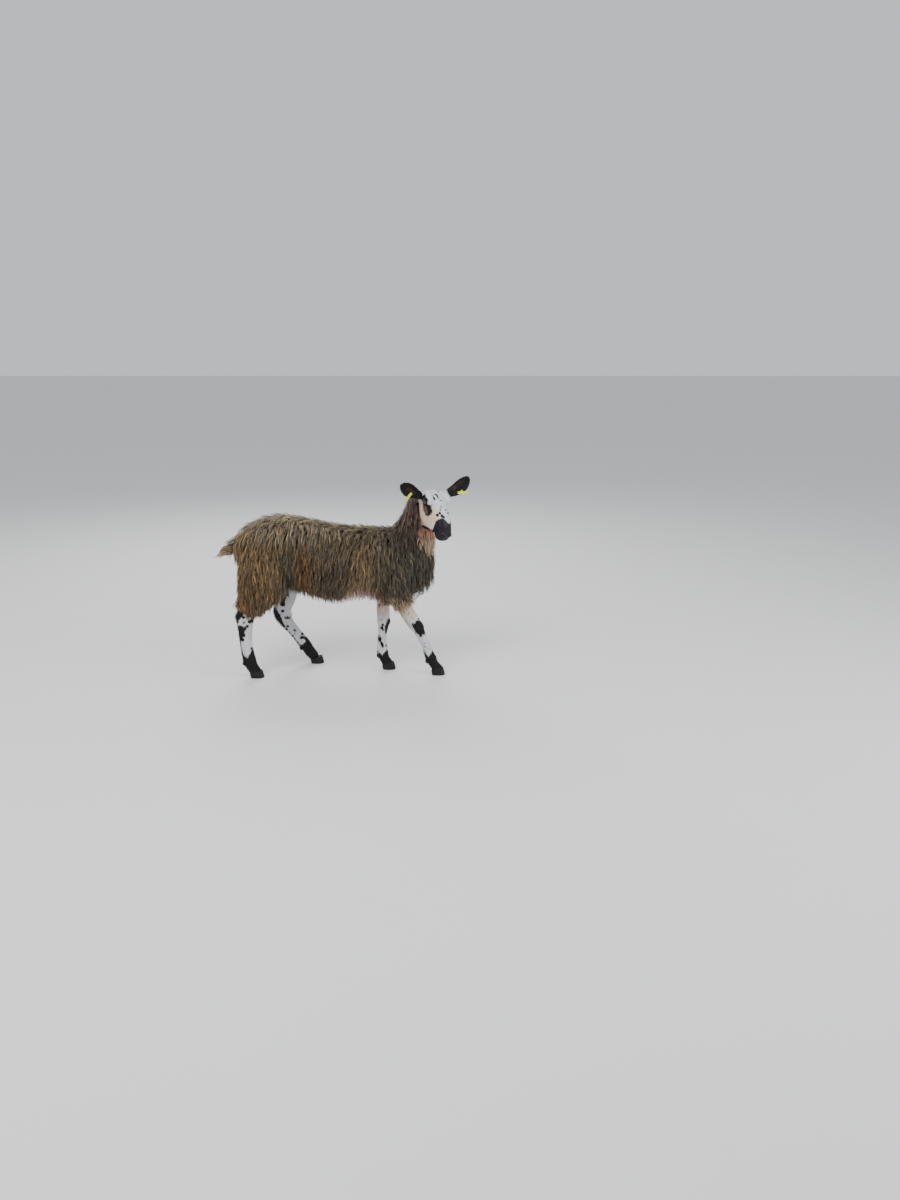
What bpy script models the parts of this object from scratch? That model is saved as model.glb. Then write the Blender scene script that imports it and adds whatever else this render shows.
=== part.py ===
"""A young long-woolled ewe in mid stride, head turned to its right, as a life-size still model.

Metres, +Z up, the ewe walks along +X and its left side is +Y. The origin is on the floor, under
the middle of the whole model. Each named object is one closed piece: the wool-covered torso, neck,
tail and thighs, the bare head and legs, and the ears, ear tags, eyes and claws.
"""

import math
import random

import bmesh
import bpy
from mathutils import Matrix, Vector
from mathutils.bvhtree import BVHTree

# Driving sizes
GAP = 0.0003            # clearance between touching pieces
WOOL_CORE = 0.012       # dense wool near the skin, which the locks are rooted in
LOCK_ROOT = 0.009       # how far a lock's root is sunk in the core
LOCK_STAND = 0.015      # how far a lock's back stands off the core
LOCK_THICK = 0.008
LOCK_SPACING = (0.047, 0.066)       # between roots, across and down
SEED = 41

# Skin of the trunk from tail to chest: x, top, bottom, half width
TRUNK = (
    (-0.487, 0.628, 0.550, 0.045),
    (-0.458, 0.670, 0.522, 0.080),
    (-0.400, 0.711, 0.503, 0.112),
    (-0.310, 0.737, 0.488, 0.125),
    (-0.220, 0.736, 0.470, 0.130),
    (-0.120, 0.712, 0.436, 0.134),
    (-0.020, 0.693, 0.414, 0.137),
    (0.080, 0.685, 0.414, 0.136),
    (0.170, 0.686, 0.424, 0.130),
    (0.250, 0.682, 0.432, 0.119),
    (0.320, 0.662, 0.444, 0.100),
    (0.370, 0.625, 0.465, 0.074),
    (0.400, 0.585, 0.500, 0.040),
)
# Skin of the neck from chest to poll: centre, half width, depth to the throat, depth to the nape
NECK = (
    (0.250, 0.000, 0.560, 0.108, 0.120, 0.105),
    (0.300, -0.002, 0.630, 0.092, 0.108, 0.088),
    (0.334, -0.010, 0.700, 0.070, 0.080, 0.068),
    (0.358, -0.024, 0.765, 0.058, 0.062, 0.056),
    (0.372, -0.040, 0.822, 0.050, 0.046, 0.046),
    (0.380, -0.052, 0.856, 0.040, 0.034, 0.036),
)
# Skin of the docked tail: centre, half width, depth above, depth below
TAIL = (
    (-0.430, 0.000, 0.650, 0.040, 0.028, 0.030),
    (-0.480, 0.000, 0.630, 0.032, 0.024, 0.024),
    (-0.525, 0.000, 0.606, 0.024, 0.016, 0.016),
    (-0.570, 0.000, 0.590, 0.013, 0.009, 0.009),
)
# Thighs from hip to wool hem: centre, half width, depth behind, depth in front
THIGH_RIGHT = (
    (-0.330, -0.052, 0.640, 0.062, 0.110, 0.110),
    (-0.365, -0.078, 0.540, 0.062, 0.100, 0.115),
    (-0.388, -0.095, 0.455, 0.055, 0.086, 0.104),
    (-0.412, -0.104, 0.395, 0.044, 0.062, 0.074),
    (-0.437, -0.108, 0.350, 0.033, 0.042, 0.046),
    (-0.450, -0.110, 0.328, 0.027, 0.034, 0.032),
)
THIGH_LEFT = (
    (-0.320, 0.052, 0.640, 0.062, 0.110, 0.110),
    (-0.310, 0.078, 0.540, 0.062, 0.120, 0.120),
    (-0.290, 0.093, 0.460, 0.054, 0.100, 0.105),
    (-0.280, 0.098, 0.415, 0.044, 0.070, 0.075),
    (-0.280, 0.098, 0.382, 0.034, 0.045, 0.045),
)
# Woolly upper forelegs from shoulder to hem: centre, half width, depth behind, depth in front
SLEEVE_RIGHT = (
    (0.270, -0.062, 0.580, 0.058, 0.080, 0.075),
    (0.262, -0.078, 0.480, 0.048, 0.062, 0.060),
    (0.265, -0.082, 0.430, 0.038, 0.048, 0.045),
    (0.270, -0.083, 0.398, 0.030, 0.038, 0.036),
)
SLEEVE_LEFT = (
    (0.250, 0.060, 0.580, 0.056, 0.080, 0.075),
    (0.225, 0.072, 0.480, 0.046, 0.060, 0.058),
    (0.215, 0.072, 0.430, 0.036, 0.046, 0.042),
    (0.212, 0.070, 0.398, 0.029, 0.036, 0.034),
)
# Bare legs from inside the wool to below the coronet: centre, half width, depth behind, in front
FORELEG_RIGHT = (
    (0.256, -0.081, 0.440, 0.026, 0.036, 0.034),
    (0.275, -0.082, 0.385, 0.024, 0.030, 0.029),
    (0.303, -0.079, 0.318, 0.0235, 0.0350, 0.0265),
    (0.333, -0.074, 0.262, 0.0245, 0.0290, 0.0275),
    (0.350, -0.071, 0.228, 0.0235, 0.0260, 0.0260),
    (0.368, -0.068, 0.188, 0.0185, 0.0200, 0.0195),
    (0.386, -0.065, 0.150, 0.0180, 0.0195, 0.0190),
    (0.398, -0.063, 0.110, 0.0195, 0.0225, 0.0210),
    (0.409, -0.062, 0.080, 0.0230, 0.0250, 0.0240),
    (0.424, -0.062, 0.052, 0.0210, 0.0215, 0.0205),
    (0.437, -0.062, 0.026, 0.0235, 0.0250, 0.0250),
    (0.445, -0.062, 0.004, 0.0240, 0.0260, 0.0260),
)
FORELEG_LEFT = (
    (0.206, 0.070, 0.440, 0.026, 0.036, 0.034),
    (0.190, 0.066, 0.385, 0.024, 0.032, 0.031),
    (0.176, 0.056, 0.315, 0.0240, 0.0305, 0.0290),
    (0.177, 0.047, 0.258, 0.0250, 0.0295, 0.0290),
    (0.176, 0.042, 0.225, 0.0235, 0.0270, 0.0265),
    (0.172, 0.036, 0.186, 0.0185, 0.0205, 0.0205),
    (0.169, 0.031, 0.150, 0.0180, 0.0205, 0.0195),
    (0.169, 0.027, 0.112, 0.0200, 0.0240, 0.0225),
    (0.171, 0.024, 0.082, 0.0235, 0.0270, 0.0250),
    (0.182, 0.022, 0.052, 0.0215, 0.0230, 0.0215),
    (0.194, 0.021, 0.026, 0.0235, 0.0255, 0.0255),
    (0.202, 0.021, 0.004, 0.0240, 0.0260, 0.0260),
)
HINDLEG_RIGHT = (
    (-0.436, -0.108, 0.375, 0.026, 0.036, 0.036),
    (-0.451, -0.110, 0.338, 0.025, 0.040, 0.038),
    (-0.459, -0.112, 0.302, 0.0255, 0.0450, 0.0400),
    (-0.462, -0.112, 0.268, 0.0240, 0.0400, 0.0350),
    (-0.464, -0.111, 0.225, 0.0215, 0.0330, 0.0300),
    (-0.463, -0.110, 0.170, 0.0200, 0.0290, 0.0270),
    (-0.459, -0.108, 0.125, 0.0215, 0.0290, 0.0280),
    (-0.452, -0.107, 0.085, 0.0245, 0.0310, 0.0285),
    (-0.442, -0.106, 0.054, 0.0225, 0.0270, 0.0260),
    (-0.430, -0.105, 0.028, 0.0240, 0.0265, 0.0265),
    (-0.423, -0.105, 0.004, 0.0245, 0.0270, 0.0270),
)
HINDLEG_LEFT = (
    (-0.276, 0.098, 0.425, 0.026, 0.038, 0.038),
    (-0.279, 0.097, 0.382, 0.025, 0.036, 0.035),
    (-0.293, 0.096, 0.335, 0.0240, 0.0350, 0.0340),
    (-0.317, 0.096, 0.285, 0.0250, 0.0420, 0.0360),
    (-0.322, 0.097, 0.252, 0.0250, 0.0430, 0.0400),
    (-0.303, 0.100, 0.212, 0.0220, 0.0330, 0.0320),
    (-0.273, 0.104, 0.172, 0.0200, 0.0270, 0.0265),
    (-0.246, 0.108, 0.134, 0.0210, 0.0270, 0.0265),
    (-0.221, 0.111, 0.098, 0.0245, 0.0290, 0.0275),
    (-0.203, 0.113, 0.068, 0.0230, 0.0260, 0.0250),
    (-0.182, 0.115, 0.036, 0.0235, 0.0255, 0.0255),
    (-0.170, 0.115, 0.008, 0.0245, 0.0270, 0.0270),
)
# Floor point under the middle of each foot, and where its dewclaws sit
FEET = {
    "fore_right": ((0.442, -0.062), (0.391, -0.062, 0.067)),
    "fore_left": ((0.200, 0.021), (0.151, 0.023, 0.067)),
    "hind_right": ((-0.421, -0.105), (-0.476, -0.106, 0.070)),
    "hind_left": ((-0.164, 0.115), (-0.239, 0.112, 0.078)),
}
LEGS = {
    "fore_right": FORELEG_RIGHT,
    "fore_left": FORELEG_LEFT,
    "hind_right": HINDLEG_RIGHT,
    "hind_left": HINDLEG_LEFT,
}
# Where the wool's tips end above the floor: x, right side, left side
HEM = (
    (-0.60, 0.345, 0.380),
    (-0.47, 0.335, 0.375),
    (-0.44, 0.302, 0.370),
    (-0.40, 0.297, 0.366),
    (-0.36, 0.332, 0.362),
    (-0.31, 0.360, 0.366),
    (-0.26, 0.400, 0.380),
    (-0.20, 0.396, 0.385),
    (-0.12, 0.368, 0.370),
    (-0.08, 0.360, 0.362),
    (0.03, 0.376, 0.376),
    (0.09, 0.385, 0.380),
    (0.15, 0.368, 0.362),
    (0.23, 0.350, 0.345),
    (0.30, 0.368, 0.365),
    (0.37, 0.395, 0.395),
    (0.44, 0.430, 0.430),
)
# How far the wool leans forward as it hangs, along the body
LEAN = ((-0.60, -0.10), (-0.40, 0.02), (-0.10, -0.10), (0.05, -0.20), (0.16, 0.0), (0.32, 0.20), (0.44, 0.25))

# Head: where the point midway between the eyes is, and how the face is turned
HEAD_CENTRE = Vector((0.424, -0.100, 0.8466))
HEAD_TURN = math.radians(-55)       # of the nose from +X, towards the ewe's right
HEAD_DROP = math.radians(54)        # of the nose below the level
HEAD_LEAN = math.radians(-5)        # left ear lower than square to the turned face
# Sections from poll to nose in the head's own axes: x, top, bottom, half width, how square
HEAD = (
    (-0.053, 0.002, -0.032, 0.032, 0.00),
    (-0.044, 0.023, -0.046, 0.045, 0.00),
    (-0.026, 0.038, -0.058, 0.052, 0.04),
    (0.000, 0.047, -0.076, 0.0545, 0.10),
    (0.030, 0.050, -0.093, 0.0520, 0.16),
    (0.056, 0.050, -0.097, 0.0475, 0.22),
    (0.085, 0.047, -0.084, 0.0425, 0.26),
    (0.115, 0.041, -0.062, 0.0385, 0.28),
    (0.140, 0.032, -0.054, 0.0370, 0.26),
    (0.160, 0.021, -0.051, 0.0365, 0.20),
    (0.175, 0.006, -0.046, 0.0330, 0.12),
    (0.184, -0.008, -0.038, 0.0240, 0.04),
    (0.189, -0.017, -0.031, 0.0120, 0.00),
)
EYE_RADIUS = 0.0135
EYE_PLACE = Vector((0.004, 0.0530, 0.0125))
EAR_ROOT = Vector((-0.028, 0.061, 0.002))
EAR_LENGTH = 0.152
EAR_WIDTH = 0.066
EAR_TIP = {-1: Vector((0.283, -0.229, 0.936)), 1: Vector((0.596, -0.046, 0.951))}
EAR_SAG = {-1: 0.003, 1: 0.014}                 # how far the middle of an ear hangs below its line
EAR_FACING = Vector((0.36, -0.61, 0.70))        # which way both cups open
# Outline and cup of an ear from root to tip: share of length, share of width, bend to each side
EAR = (
    (0.00, 0.46, 1.25),
    (0.12, 0.58, 1.05),
    (0.30, 0.74, 0.75),
    (0.48, 0.92, 0.60),
    (0.66, 1.00, 0.50),
    (0.80, 0.88, 0.42),
    (0.92, 0.60, 0.36),
    (0.98, 0.34, 0.32),
    (1.00, 0.12, 0.30),
)
TAG_PLACE = {-1: (0.56, 0.62), 1: (0.60, 0.62)}  # share of the ear's length, and from axis to lower edge
TAG_BAR = Vector((0.046, 0.011, 0.0022))
TAG_LONG_WAY = {-1: Vector((0.70, 0.18, 0.68)), 1: Vector((1.0, 0.0, 0.05))}
HOOF_LENGTH = 0.060
HOOF_HEIGHT = 0.034
HALF_FOOT = 0.0245
CLEFT = 0.0030

COLOURS = {
    "fleece": ((0.30, 0.22, 0.12), 0.9),
    "white_hair": ((0.80, 0.76, 0.72), 0.8),
    "black_hair": ((0.03, 0.03, 0.035), 0.7),
    "horn": ((0.035, 0.035, 0.035), 0.5),
    "eye": ((0.10, 0.06, 0.02), 0.1),
    "tag": ((0.75, 0.85, 0.10), 0.4),
}


def clear_scene():
    for thing in list(bpy.data.objects):
        bpy.data.objects.remove(thing, do_unlink=True)


def material(name):
    """The material of that name, made the first time it is asked for."""
    if name in bpy.data.materials:
        return bpy.data.materials[name]
    colour, roughness = COLOURS[name]
    made = bpy.data.materials.new(name)
    made.use_nodes = True
    shader = made.node_tree.nodes["Principled BSDF"]
    shader.inputs["Base Color"].default_value = (*colour, 1.0)
    shader.inputs["Roughness"].default_value = roughness
    shader.inputs["Metallic"].default_value = 0.0
    return made


def new_object(name, mesh_builder, finish=None):
    """An object of triangles from a bmesh, which is freed."""
    bmesh.ops.recalc_face_normals(mesh_builder, faces=mesh_builder.faces)
    bmesh.ops.triangulate(mesh_builder, faces=mesh_builder.faces)
    mesh = bpy.data.meshes.new(name)
    mesh_builder.to_mesh(mesh)
    mesh_builder.free()
    made = bpy.data.objects.new(name, mesh)
    bpy.context.scene.collection.objects.link(made)
    if finish:
        mesh.materials.append(material(finish))
    return made


def smooth_rows(rows, spans):
    """The rows with others between them, on Catmull-Rom curves through each column."""
    result = []
    last = len(rows) - 1
    for i in range(last):
        before, start, end, after = (rows[max(0, min(last, i + k))] for k in (-1, 0, 1, 2))
        for step in range(spans):
            t = step / spans
            result.append(
                [
                    0.5
                    * (
                        2 * b
                        + (c - a) * t
                        + (2 * a - 5 * b + 4 * c - d) * t * t
                        + (3 * b - a - 3 * c + d) * t ** 3
                    )
                    for a, b, c, d in zip(before, start, end, after)
                ]
            )
    result.append(list(rows[last]))
    return result


def tube(name, rows, around, spans, grow=0.0, finish=None):
    """A closed tube along rows of (centre x, y, z, half width, depth behind, depth in front)."""
    rows = smooth_rows(rows, spans)
    centres = [Vector(row[:3]) for row in rows]
    builder = bmesh.new()
    rings = []
    for i, (centre, row) in enumerate(zip(centres, rows)):
        along = (centres[min(i + 1, len(rows) - 1)] - centres[max(i - 1, 0)]).normalized()
        side = Vector((0, 1, 0))
        side = (side - along * side.dot(along)).normalized()
        front = along.cross(side)
        width, behind, ahead = (value + grow for value in row[3:6])
        ring = []
        for k in range(around):
            angle = math.tau * (k + 0.5) / around
            depth = ahead if math.cos(angle) > 0 else behind
            ring.append(
                builder.verts.new(
                    centre + side * width * math.sin(angle) + front * depth * math.cos(angle)
                )
            )
        rings.append(ring)
    close_rings(builder, rings)
    return new_object(name, builder, finish)


def close_rings(builder, rings):
    """Faces between neighbouring rings, and flat caps at both ends."""
    for lower, upper in zip(rings, rings[1:]):
        count = len(lower)
        for k in range(count):
            j = (k + 1) % count
            builder.faces.new((lower[k], lower[j], upper[j], upper[k]))
    builder.faces.new(rings[0][::-1])
    builder.faces.new(rings[-1])


def level_rows(rows):
    """Rows of (x, top, bottom, half width) as rows for tube, whose front then points up."""
    return [
        (x, 0.0, (top + bottom) / 2, width, (top - bottom) / 2, (top - bottom) / 2)
        for x, top, bottom, width in rows
    ]


def union(name, pieces, finish):
    """The pieces joined into one closed body: its largest surface alone is kept."""
    group = bpy.data.collections.new(name + "_pieces")
    bpy.context.scene.collection.children.link(group)
    first, *others = pieces
    for piece in others:
        group.objects.link(piece)
    apply_boolean(first, "UNION", group)
    for piece in others:
        bpy.data.objects.remove(piece, do_unlink=True)
    bpy.data.collections.remove(group)
    first.name = name
    first.data.materials.clear()
    first.data.materials.append(material(finish))
    keep_largest(first)
    return first


def apply_boolean(target, operation, others):
    """Joins or cuts target by an object or a collection, and applies it."""
    modifier = target.modifiers.new("boolean", "BOOLEAN")
    modifier.operation = operation
    modifier.solver = "MANIFOLD"
    if isinstance(others, bpy.types.Collection):
        modifier.operand_type = "COLLECTION"
        modifier.collection = others
    else:
        modifier.object = others
    apply_modifiers(target)


def apply_modifiers(target):
    graph = bpy.context.evaluated_depsgraph_get()
    mesh = bpy.data.meshes.new_from_object(target.evaluated_get(graph))
    target.modifiers.clear()
    target.data = mesh


def islands(builder):
    """Lists of the vertices of each separate surface, the one with most vertices first."""
    left = set(builder.verts)
    found = []
    while left:
        front = [left.pop()]
        island = []
        while front:
            vertex = front.pop()
            island.append(vertex)
            for edge in vertex.link_edges:
                other = edge.other_vert(vertex)
                if other in left:
                    left.remove(other)
                    front.append(other)
        found.append(island)
    return sorted(found, key=len, reverse=True)


def keep_largest(target):
    builder = bmesh.new()
    builder.from_mesh(target.data)
    for island in islands(builder)[1:]:
        bmesh.ops.delete(builder, geom=island, context="VERTS")
    builder.to_mesh(target.data)
    builder.free()


def carve(target, tool, gap=GAP):
    """Cuts target clear of tool by the gap, and leaves tool as it is."""
    builder = bmesh.new()
    builder.from_mesh(tool.data)
    builder.normal_update()
    moves = [v.normal * gap * min(v.calc_shell_factor(), 2.5) for v in builder.verts]
    for vertex, move in zip(builder.verts, moves):
        vertex.co += move
    cutter = new_object(tool.name + "_cutter", builder)
    apply_boolean(target, "DIFFERENCE", cutter)
    bpy.data.objects.remove(cutter, do_unlink=True)
    keep_largest(target)


# Wool
def between(table, x, column=1):
    """The value of a column of the table at x, on straight lines between its rows."""
    x = max(table[0][0], min(table[-1][0], x))
    for low, high in zip(table, table[1:]):
        if x <= high[0]:
            share = (x - low[0]) / (high[0] - low[0])
            return low[column] + (high[column] - low[column]) * share
    return table[-1][column]


def wool_lie(point, outward):
    """Which way a lock lies: back along the spine and tail, and down the sides."""
    if point.x < -0.50 and point.z > 0.55:
        return Vector((-1.0, 0.20 * math.copysign(1, point.y), -0.45))
    if outward.z > 0.93 and point.z < 0.80:
        return Vector((-0.8, 0.75 * math.copysign(1, point.y), -0.5))
    return Vector((between(LEAN, point.x), 0.30 * math.copysign(1, point.y), -1.0))


def lock_length(point):
    """Long on the flanks, shorter on the neck, tail and thighs, and no lower than the hem."""
    if point.x < -0.50 and point.z > 0.56:
        return 0.050
    length = 0.118 - 0.045 * max(0.0, min(1.0, (point.z - 0.70) / 0.12))
    hem = between(HEM, point.x, 1 if point.y < 0 else 2)
    return min(length, (point.z - hem) * 1.05)


def bare_throat(point):
    """Whether a point is in the strip of short hair from jaw to breast."""
    top, bottom = Vector((0.400, -0.095, 0.760)), Vector((0.425, -0.045, 0.560))
    run = bottom - top
    share = max(0.0, min(1.0, (point - top).dot(run) / run.length_squared))
    return (point - top - run * share).length < 0.058 * (1 - share) + 0.022 * share


def woolly(point, normal):
    """Whether a lock grows at this point of the core."""
    if bare_throat(point) or (point - HEAD_CENTRE).length < 0.080:
        return False
    if normal.z < -0.60 or lock_length(point) < 0.045:
        return False
    between_legs = abs(point.y) < 0.085 and point.z < 0.50 and abs(normal.y) > 0.3
    return not (between_legs and point.y * normal.y < 0)


def scatter(surface, rng, tries):
    """Roots spread evenly over the woolly surface, with their normals."""
    across, down = LOCK_SPACING
    surface.data.calc_loop_triangles()
    corners = [v.co for v in surface.data.vertices]
    triangles = list(surface.data.loop_triangles)
    totals = []
    total = 0.0
    for triangle in triangles:
        total += triangle.area
        totals.append(total)
    roots = []
    for triangle in rng.choices(triangles, cum_weights=totals, k=tries):
        a, b, c = (corners[i] for i in triangle.vertices)
        u, v = sorted((rng.random(), rng.random()))
        point = a * u + b * (v - u) + c * (1 - v)
        normal = triangle.normal.copy()
        if not woolly(point, normal):
            continue
        apart = 0.55 + 0.45 * lock_length(point) / 0.118
        if all(
            math.hypot((point - other).xy.length / across, (point.z - other.z) / down) > apart
            for other, _ in roots
        ):
            roots.append((point, normal))
    return roots


def lock_path(surface, root, normal, length, rng):
    """Points and outward directions along a lock: over the surface, then hanging free."""
    sway = Vector((rng.uniform(-0.14, 0.14), rng.uniform(-0.08, 0.08), 0))
    stand = LOCK_STAND * rng.uniform(0.8, 1.2)
    shares = (0.0, 0.30, 0.58, 0.82, 1.0)
    heights = (-LOCK_ROOT, 0.25 * stand, 0.70 * stand, 0.9 * stand, stand)
    point = root.copy()
    outward = normal.copy()
    path = [(point + outward * heights[0], outward.copy())]
    for before, share, height in zip(shares, shares[1:], heights[1:]):
        lie = wool_lie(point, outward) + sway
        lie = (lie - outward * lie.dot(outward)).normalized()
        point = point + lie * length * (share - before)
        near, facing, _, _ = surface.find_nearest(point)
        if facing.z > -0.35:
            point = near
            outward = (outward + facing * 1.5).normalized()
        else:
            outward = Vector((outward.x, outward.y, max(outward.z, 0.0))).normalized()
        path.append((point + outward * height, outward.copy()))
    return path


def lock(path, width, thick):
    """A flat tapered lock with a ridged back, from its sunk root to a point."""
    builder = bmesh.new()
    widths = (0.55, 1.0, 0.92, 0.60)
    ridges = (0.7, 1.0, 0.9, 0.7)
    rings = []
    for i, (wide, ridge) in enumerate(zip(widths, ridges)):
        point, outward = path[i]
        along = (path[i + 1][0] - path[max(i - 1, 0)][0]).normalized()
        side = along.cross(outward).normalized() * width * wide / 2
        back = point + outward * thick * ridge
        rings.append([builder.verts.new(p) for p in (point - side, back, point + side)])
    tip = builder.verts.new(path[-1][0])
    for lower, upper in zip(rings, rings[1:]):
        for k in range(3):
            j = (k + 1) % 3
            builder.faces.new((lower[k], lower[j], upper[j], upper[k]))
    for k in range(3):
        builder.faces.new((rings[-1][k], rings[-1][(k + 1) % 3], tip))
    builder.faces.new(rings[0][::-1])
    return new_object("lock", builder)


def locks_on(core, rng):
    """Every lock of the coat, rooted on the core."""
    builder = bmesh.new()
    builder.from_mesh(core.data)
    surface = BVHTree.FromBMesh(builder)
    builder.free()
    made = []
    for root, normal in scatter(core, rng, 6000):
        length = lock_length(root) * rng.uniform(0.92, 1.08)
        width = (0.020 + 0.23 * length) * rng.uniform(0.85, 1.15)
        path = lock_path(surface, root, normal, length, rng)
        made.append(lock(path, width, LOCK_THICK))
    return made


def prism(name, outline, near, far):
    """A block with an outline of (x, z) from y = near to y = far."""
    builder = bmesh.new()
    rings = [[builder.verts.new((x, y, z)) for x, z in outline] for y in (near, far)]
    close_rings(builder, rings)
    return new_object(name, builder)


def split_off(coat, name, outline, near, far):
    """Makes the coat inside the block an object of its own, and clears the block from the coat."""
    region = prism(name + "_region", outline, near, far)
    piece = bpy.data.objects.new(name, coat.data.copy())
    bpy.context.scene.collection.objects.link(piece)
    apply_boolean(piece, "INTERSECT", region)
    keep_largest(piece)
    carve(coat, region)
    bpy.data.objects.remove(region, do_unlink=True)


def part_into_nodes(coat):
    """Parts the neck, tail and both thighs from the torso."""
    split_off(
        coat, "neck", ((0.16, 0.795), (0.335, 0.655), (0.52, 0.507), (0.80, 0.70), (0.50, 1.20), (0.16, 1.20)), -0.4, 0.4
    )
    split_off(
        coat, "tail", ((-0.43, 0.80), (-0.499, 0.640), (-0.513, 0.574), (-0.74, 0.48), (-0.90, 0.60), (-0.90, 0.80)), -0.4, 0.4
    )
    split_off(
        coat, "thigh_right", ((-0.70, 0.455), (-0.262, 0.455), (-0.234, 0.432), (-0.234, 0.20), (-0.70, 0.20)), -0.4, -0.002
    )
    split_off(
        coat, "thigh_left", ((-0.70, 0.450), (-0.196, 0.450), (-0.150, 0.424), (-0.150, 0.20), (-0.70, 0.20)), 0.002, 0.4
    )
    coat.name = "torso"


def woolly_body(solids_to_clear):
    """The torso, neck, tail and thighs: cores and locks joined whole, then parted."""
    rng = random.Random(SEED)
    cores = [
        tube("trunk", level_rows(TRUNK), 20, 1, WOOL_CORE),
        tube("neck_core", NECK, 14, 1, WOOL_CORE),
        tube("tail_core", TAIL, 8, 1, WOOL_CORE * 0.6),
        tube("thigh_core_right", THIGH_RIGHT, 14, 1, WOOL_CORE),
        tube("thigh_core_left", THIGH_LEFT, 14, 1, WOOL_CORE),
        tube("sleeve_right", SLEEVE_RIGHT, 12, 1, WOOL_CORE),
        tube("sleeve_left", SLEEVE_LEFT, 12, 1, WOOL_CORE),
    ]
    coat = union("coat", cores, "fleece")
    coat = union("coat", [coat, *locks_on(coat, rng)], "fleece")
    for solid in solids_to_clear:
        carve(coat, solid)
    part_into_nodes(coat)


# Legs and feet
def coronet_height(x, middle):
    """Height of the top of the horn, which slopes down to the heel."""
    return HOOF_HEIGHT - 0.004 + (x - middle) * 0.30


def bare_leg(name, rows, foot):
    """A leg with its dewclaws, cut off square to the coronet."""
    (middle, side), dewclaw = FEET[foot]
    leg = tube(name, rows, 12, 1)
    pieces = [leg]
    for way in (-1, 1):
        builder = bmesh.new()
        bmesh.ops.create_uvsphere(builder, u_segments=7, v_segments=5, radius=1.0)
        for vertex in builder.verts:
            x, y, z = vertex.co
            vertex.co = Vector(dewclaw) + Vector((0.009 * x, 0.0065 * y + way * 0.011, 0.010 * z))
        pieces.append(new_object("dewclaw", builder))
    leg = union(name, pieces, "white_hair")
    builder = bmesh.new()
    builder.from_mesh(leg.data)
    slope = Vector((-0.30, 0, 1)).normalized()
    on_plane = Vector((middle, side, coronet_height(middle, middle) + 0.5 * GAP))
    geometry = builder.verts[:] + builder.edges[:] + builder.faces[:]
    cut = bmesh.ops.bisect_plane(
        builder, geom=geometry, plane_co=on_plane, plane_no=slope, clear_inner=True
    )
    rim = [e for e in cut["geom_cut"] if isinstance(e, bmesh.types.BMEdge)]
    bmesh.ops.holes_fill(builder, edges=rim)
    bmesh.ops.recalc_face_normals(builder, faces=builder.faces)
    bmesh.ops.triangulate(builder, faces=builder.faces)
    builder.to_mesh(leg.data)
    builder.free()
    return leg


def claw_outline(grow, slide):
    """One claw seen from above: straight inner side, bowed outer side, blunt toe."""
    outline = (
        (-0.50, 0.70), (-0.40, 0.92), (-0.12, 1.00), (0.18, 0.98), (0.40, 0.74), (0.50, 0.32),
    )
    outer = [(x * HOOF_LENGTH * grow + slide, y * HALF_FOOT * grow) for x, y in outline]
    inner = [(x * HOOF_LENGTH * grow + slide, CLEFT * (0.5 + max(0.0, x))) for x, _ in outline]
    return outer + inner[::-1]


def claw(name, foot, way):
    """One of the two claws of a foot; way is 1 for the one on the left."""
    (middle, side), _ = FEET[foot]
    builder = bmesh.new()
    rings = []
    for share, grow, slide in ((0.0, 1.0, 0.003), (0.10, 1.02, 0.003), (0.55, 0.97, 0.0), (1.0, 0.92, -0.004)):
        ring = []
        for x, y in claw_outline(grow, slide):
            top = coronet_height(middle + x, middle) - 0.5 * GAP
            ring.append(builder.verts.new((middle + x, side + way * y, share * top)))
        rings.append(ring)
    close_rings(builder, rings)
    return new_object(name, builder, "horn")


# Head
def head_matrix():
    turn = Matrix.Rotation(HEAD_TURN, 4, "Z")
    drop = Matrix.Rotation(HEAD_DROP, 4, "Y")
    lean = Matrix.Rotation(HEAD_LEAN, 4, "X")
    return Matrix.Translation(HEAD_CENTRE) @ turn @ drop @ lean


def skull_tube():
    """The head as one tube in its own axes, with a broad brow and a narrow jaw."""
    rows = smooth_rows(HEAD, 2)
    around = 22
    builder = bmesh.new()
    rings = []
    for x, top, bottom, width, square in rows:
        middle = (top + bottom) / 2
        half = (top - bottom) / 2
        ring = []
        for k in range(around):
            angle = math.tau * (k + 0.5) / around
            up, across = (
                math.copysign(abs(value) ** (1 - square), value)
                for value in (math.cos(angle), math.sin(angle))
            )
            ring.append(builder.verts.new((x, width * across, middle + half * up)))
        rings.append(ring)
    close_rings(builder, rings)
    return new_object("skull", builder)


def bump(name, centre, radii, turn=0.0):
    """An ellipsoid in the head's own axes, turned about its vertical."""
    builder = bmesh.new()
    bmesh.ops.create_uvsphere(builder, u_segments=14, v_segments=10, radius=1.0)
    rotation = Matrix.Rotation(turn, 3, "Z")
    for vertex in builder.verts:
        scaled = Vector([r * c for r, c in zip(radii, vertex.co)])
        vertex.co = rotation @ scaled + Vector(centre)
    return new_object(name, builder)


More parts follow.
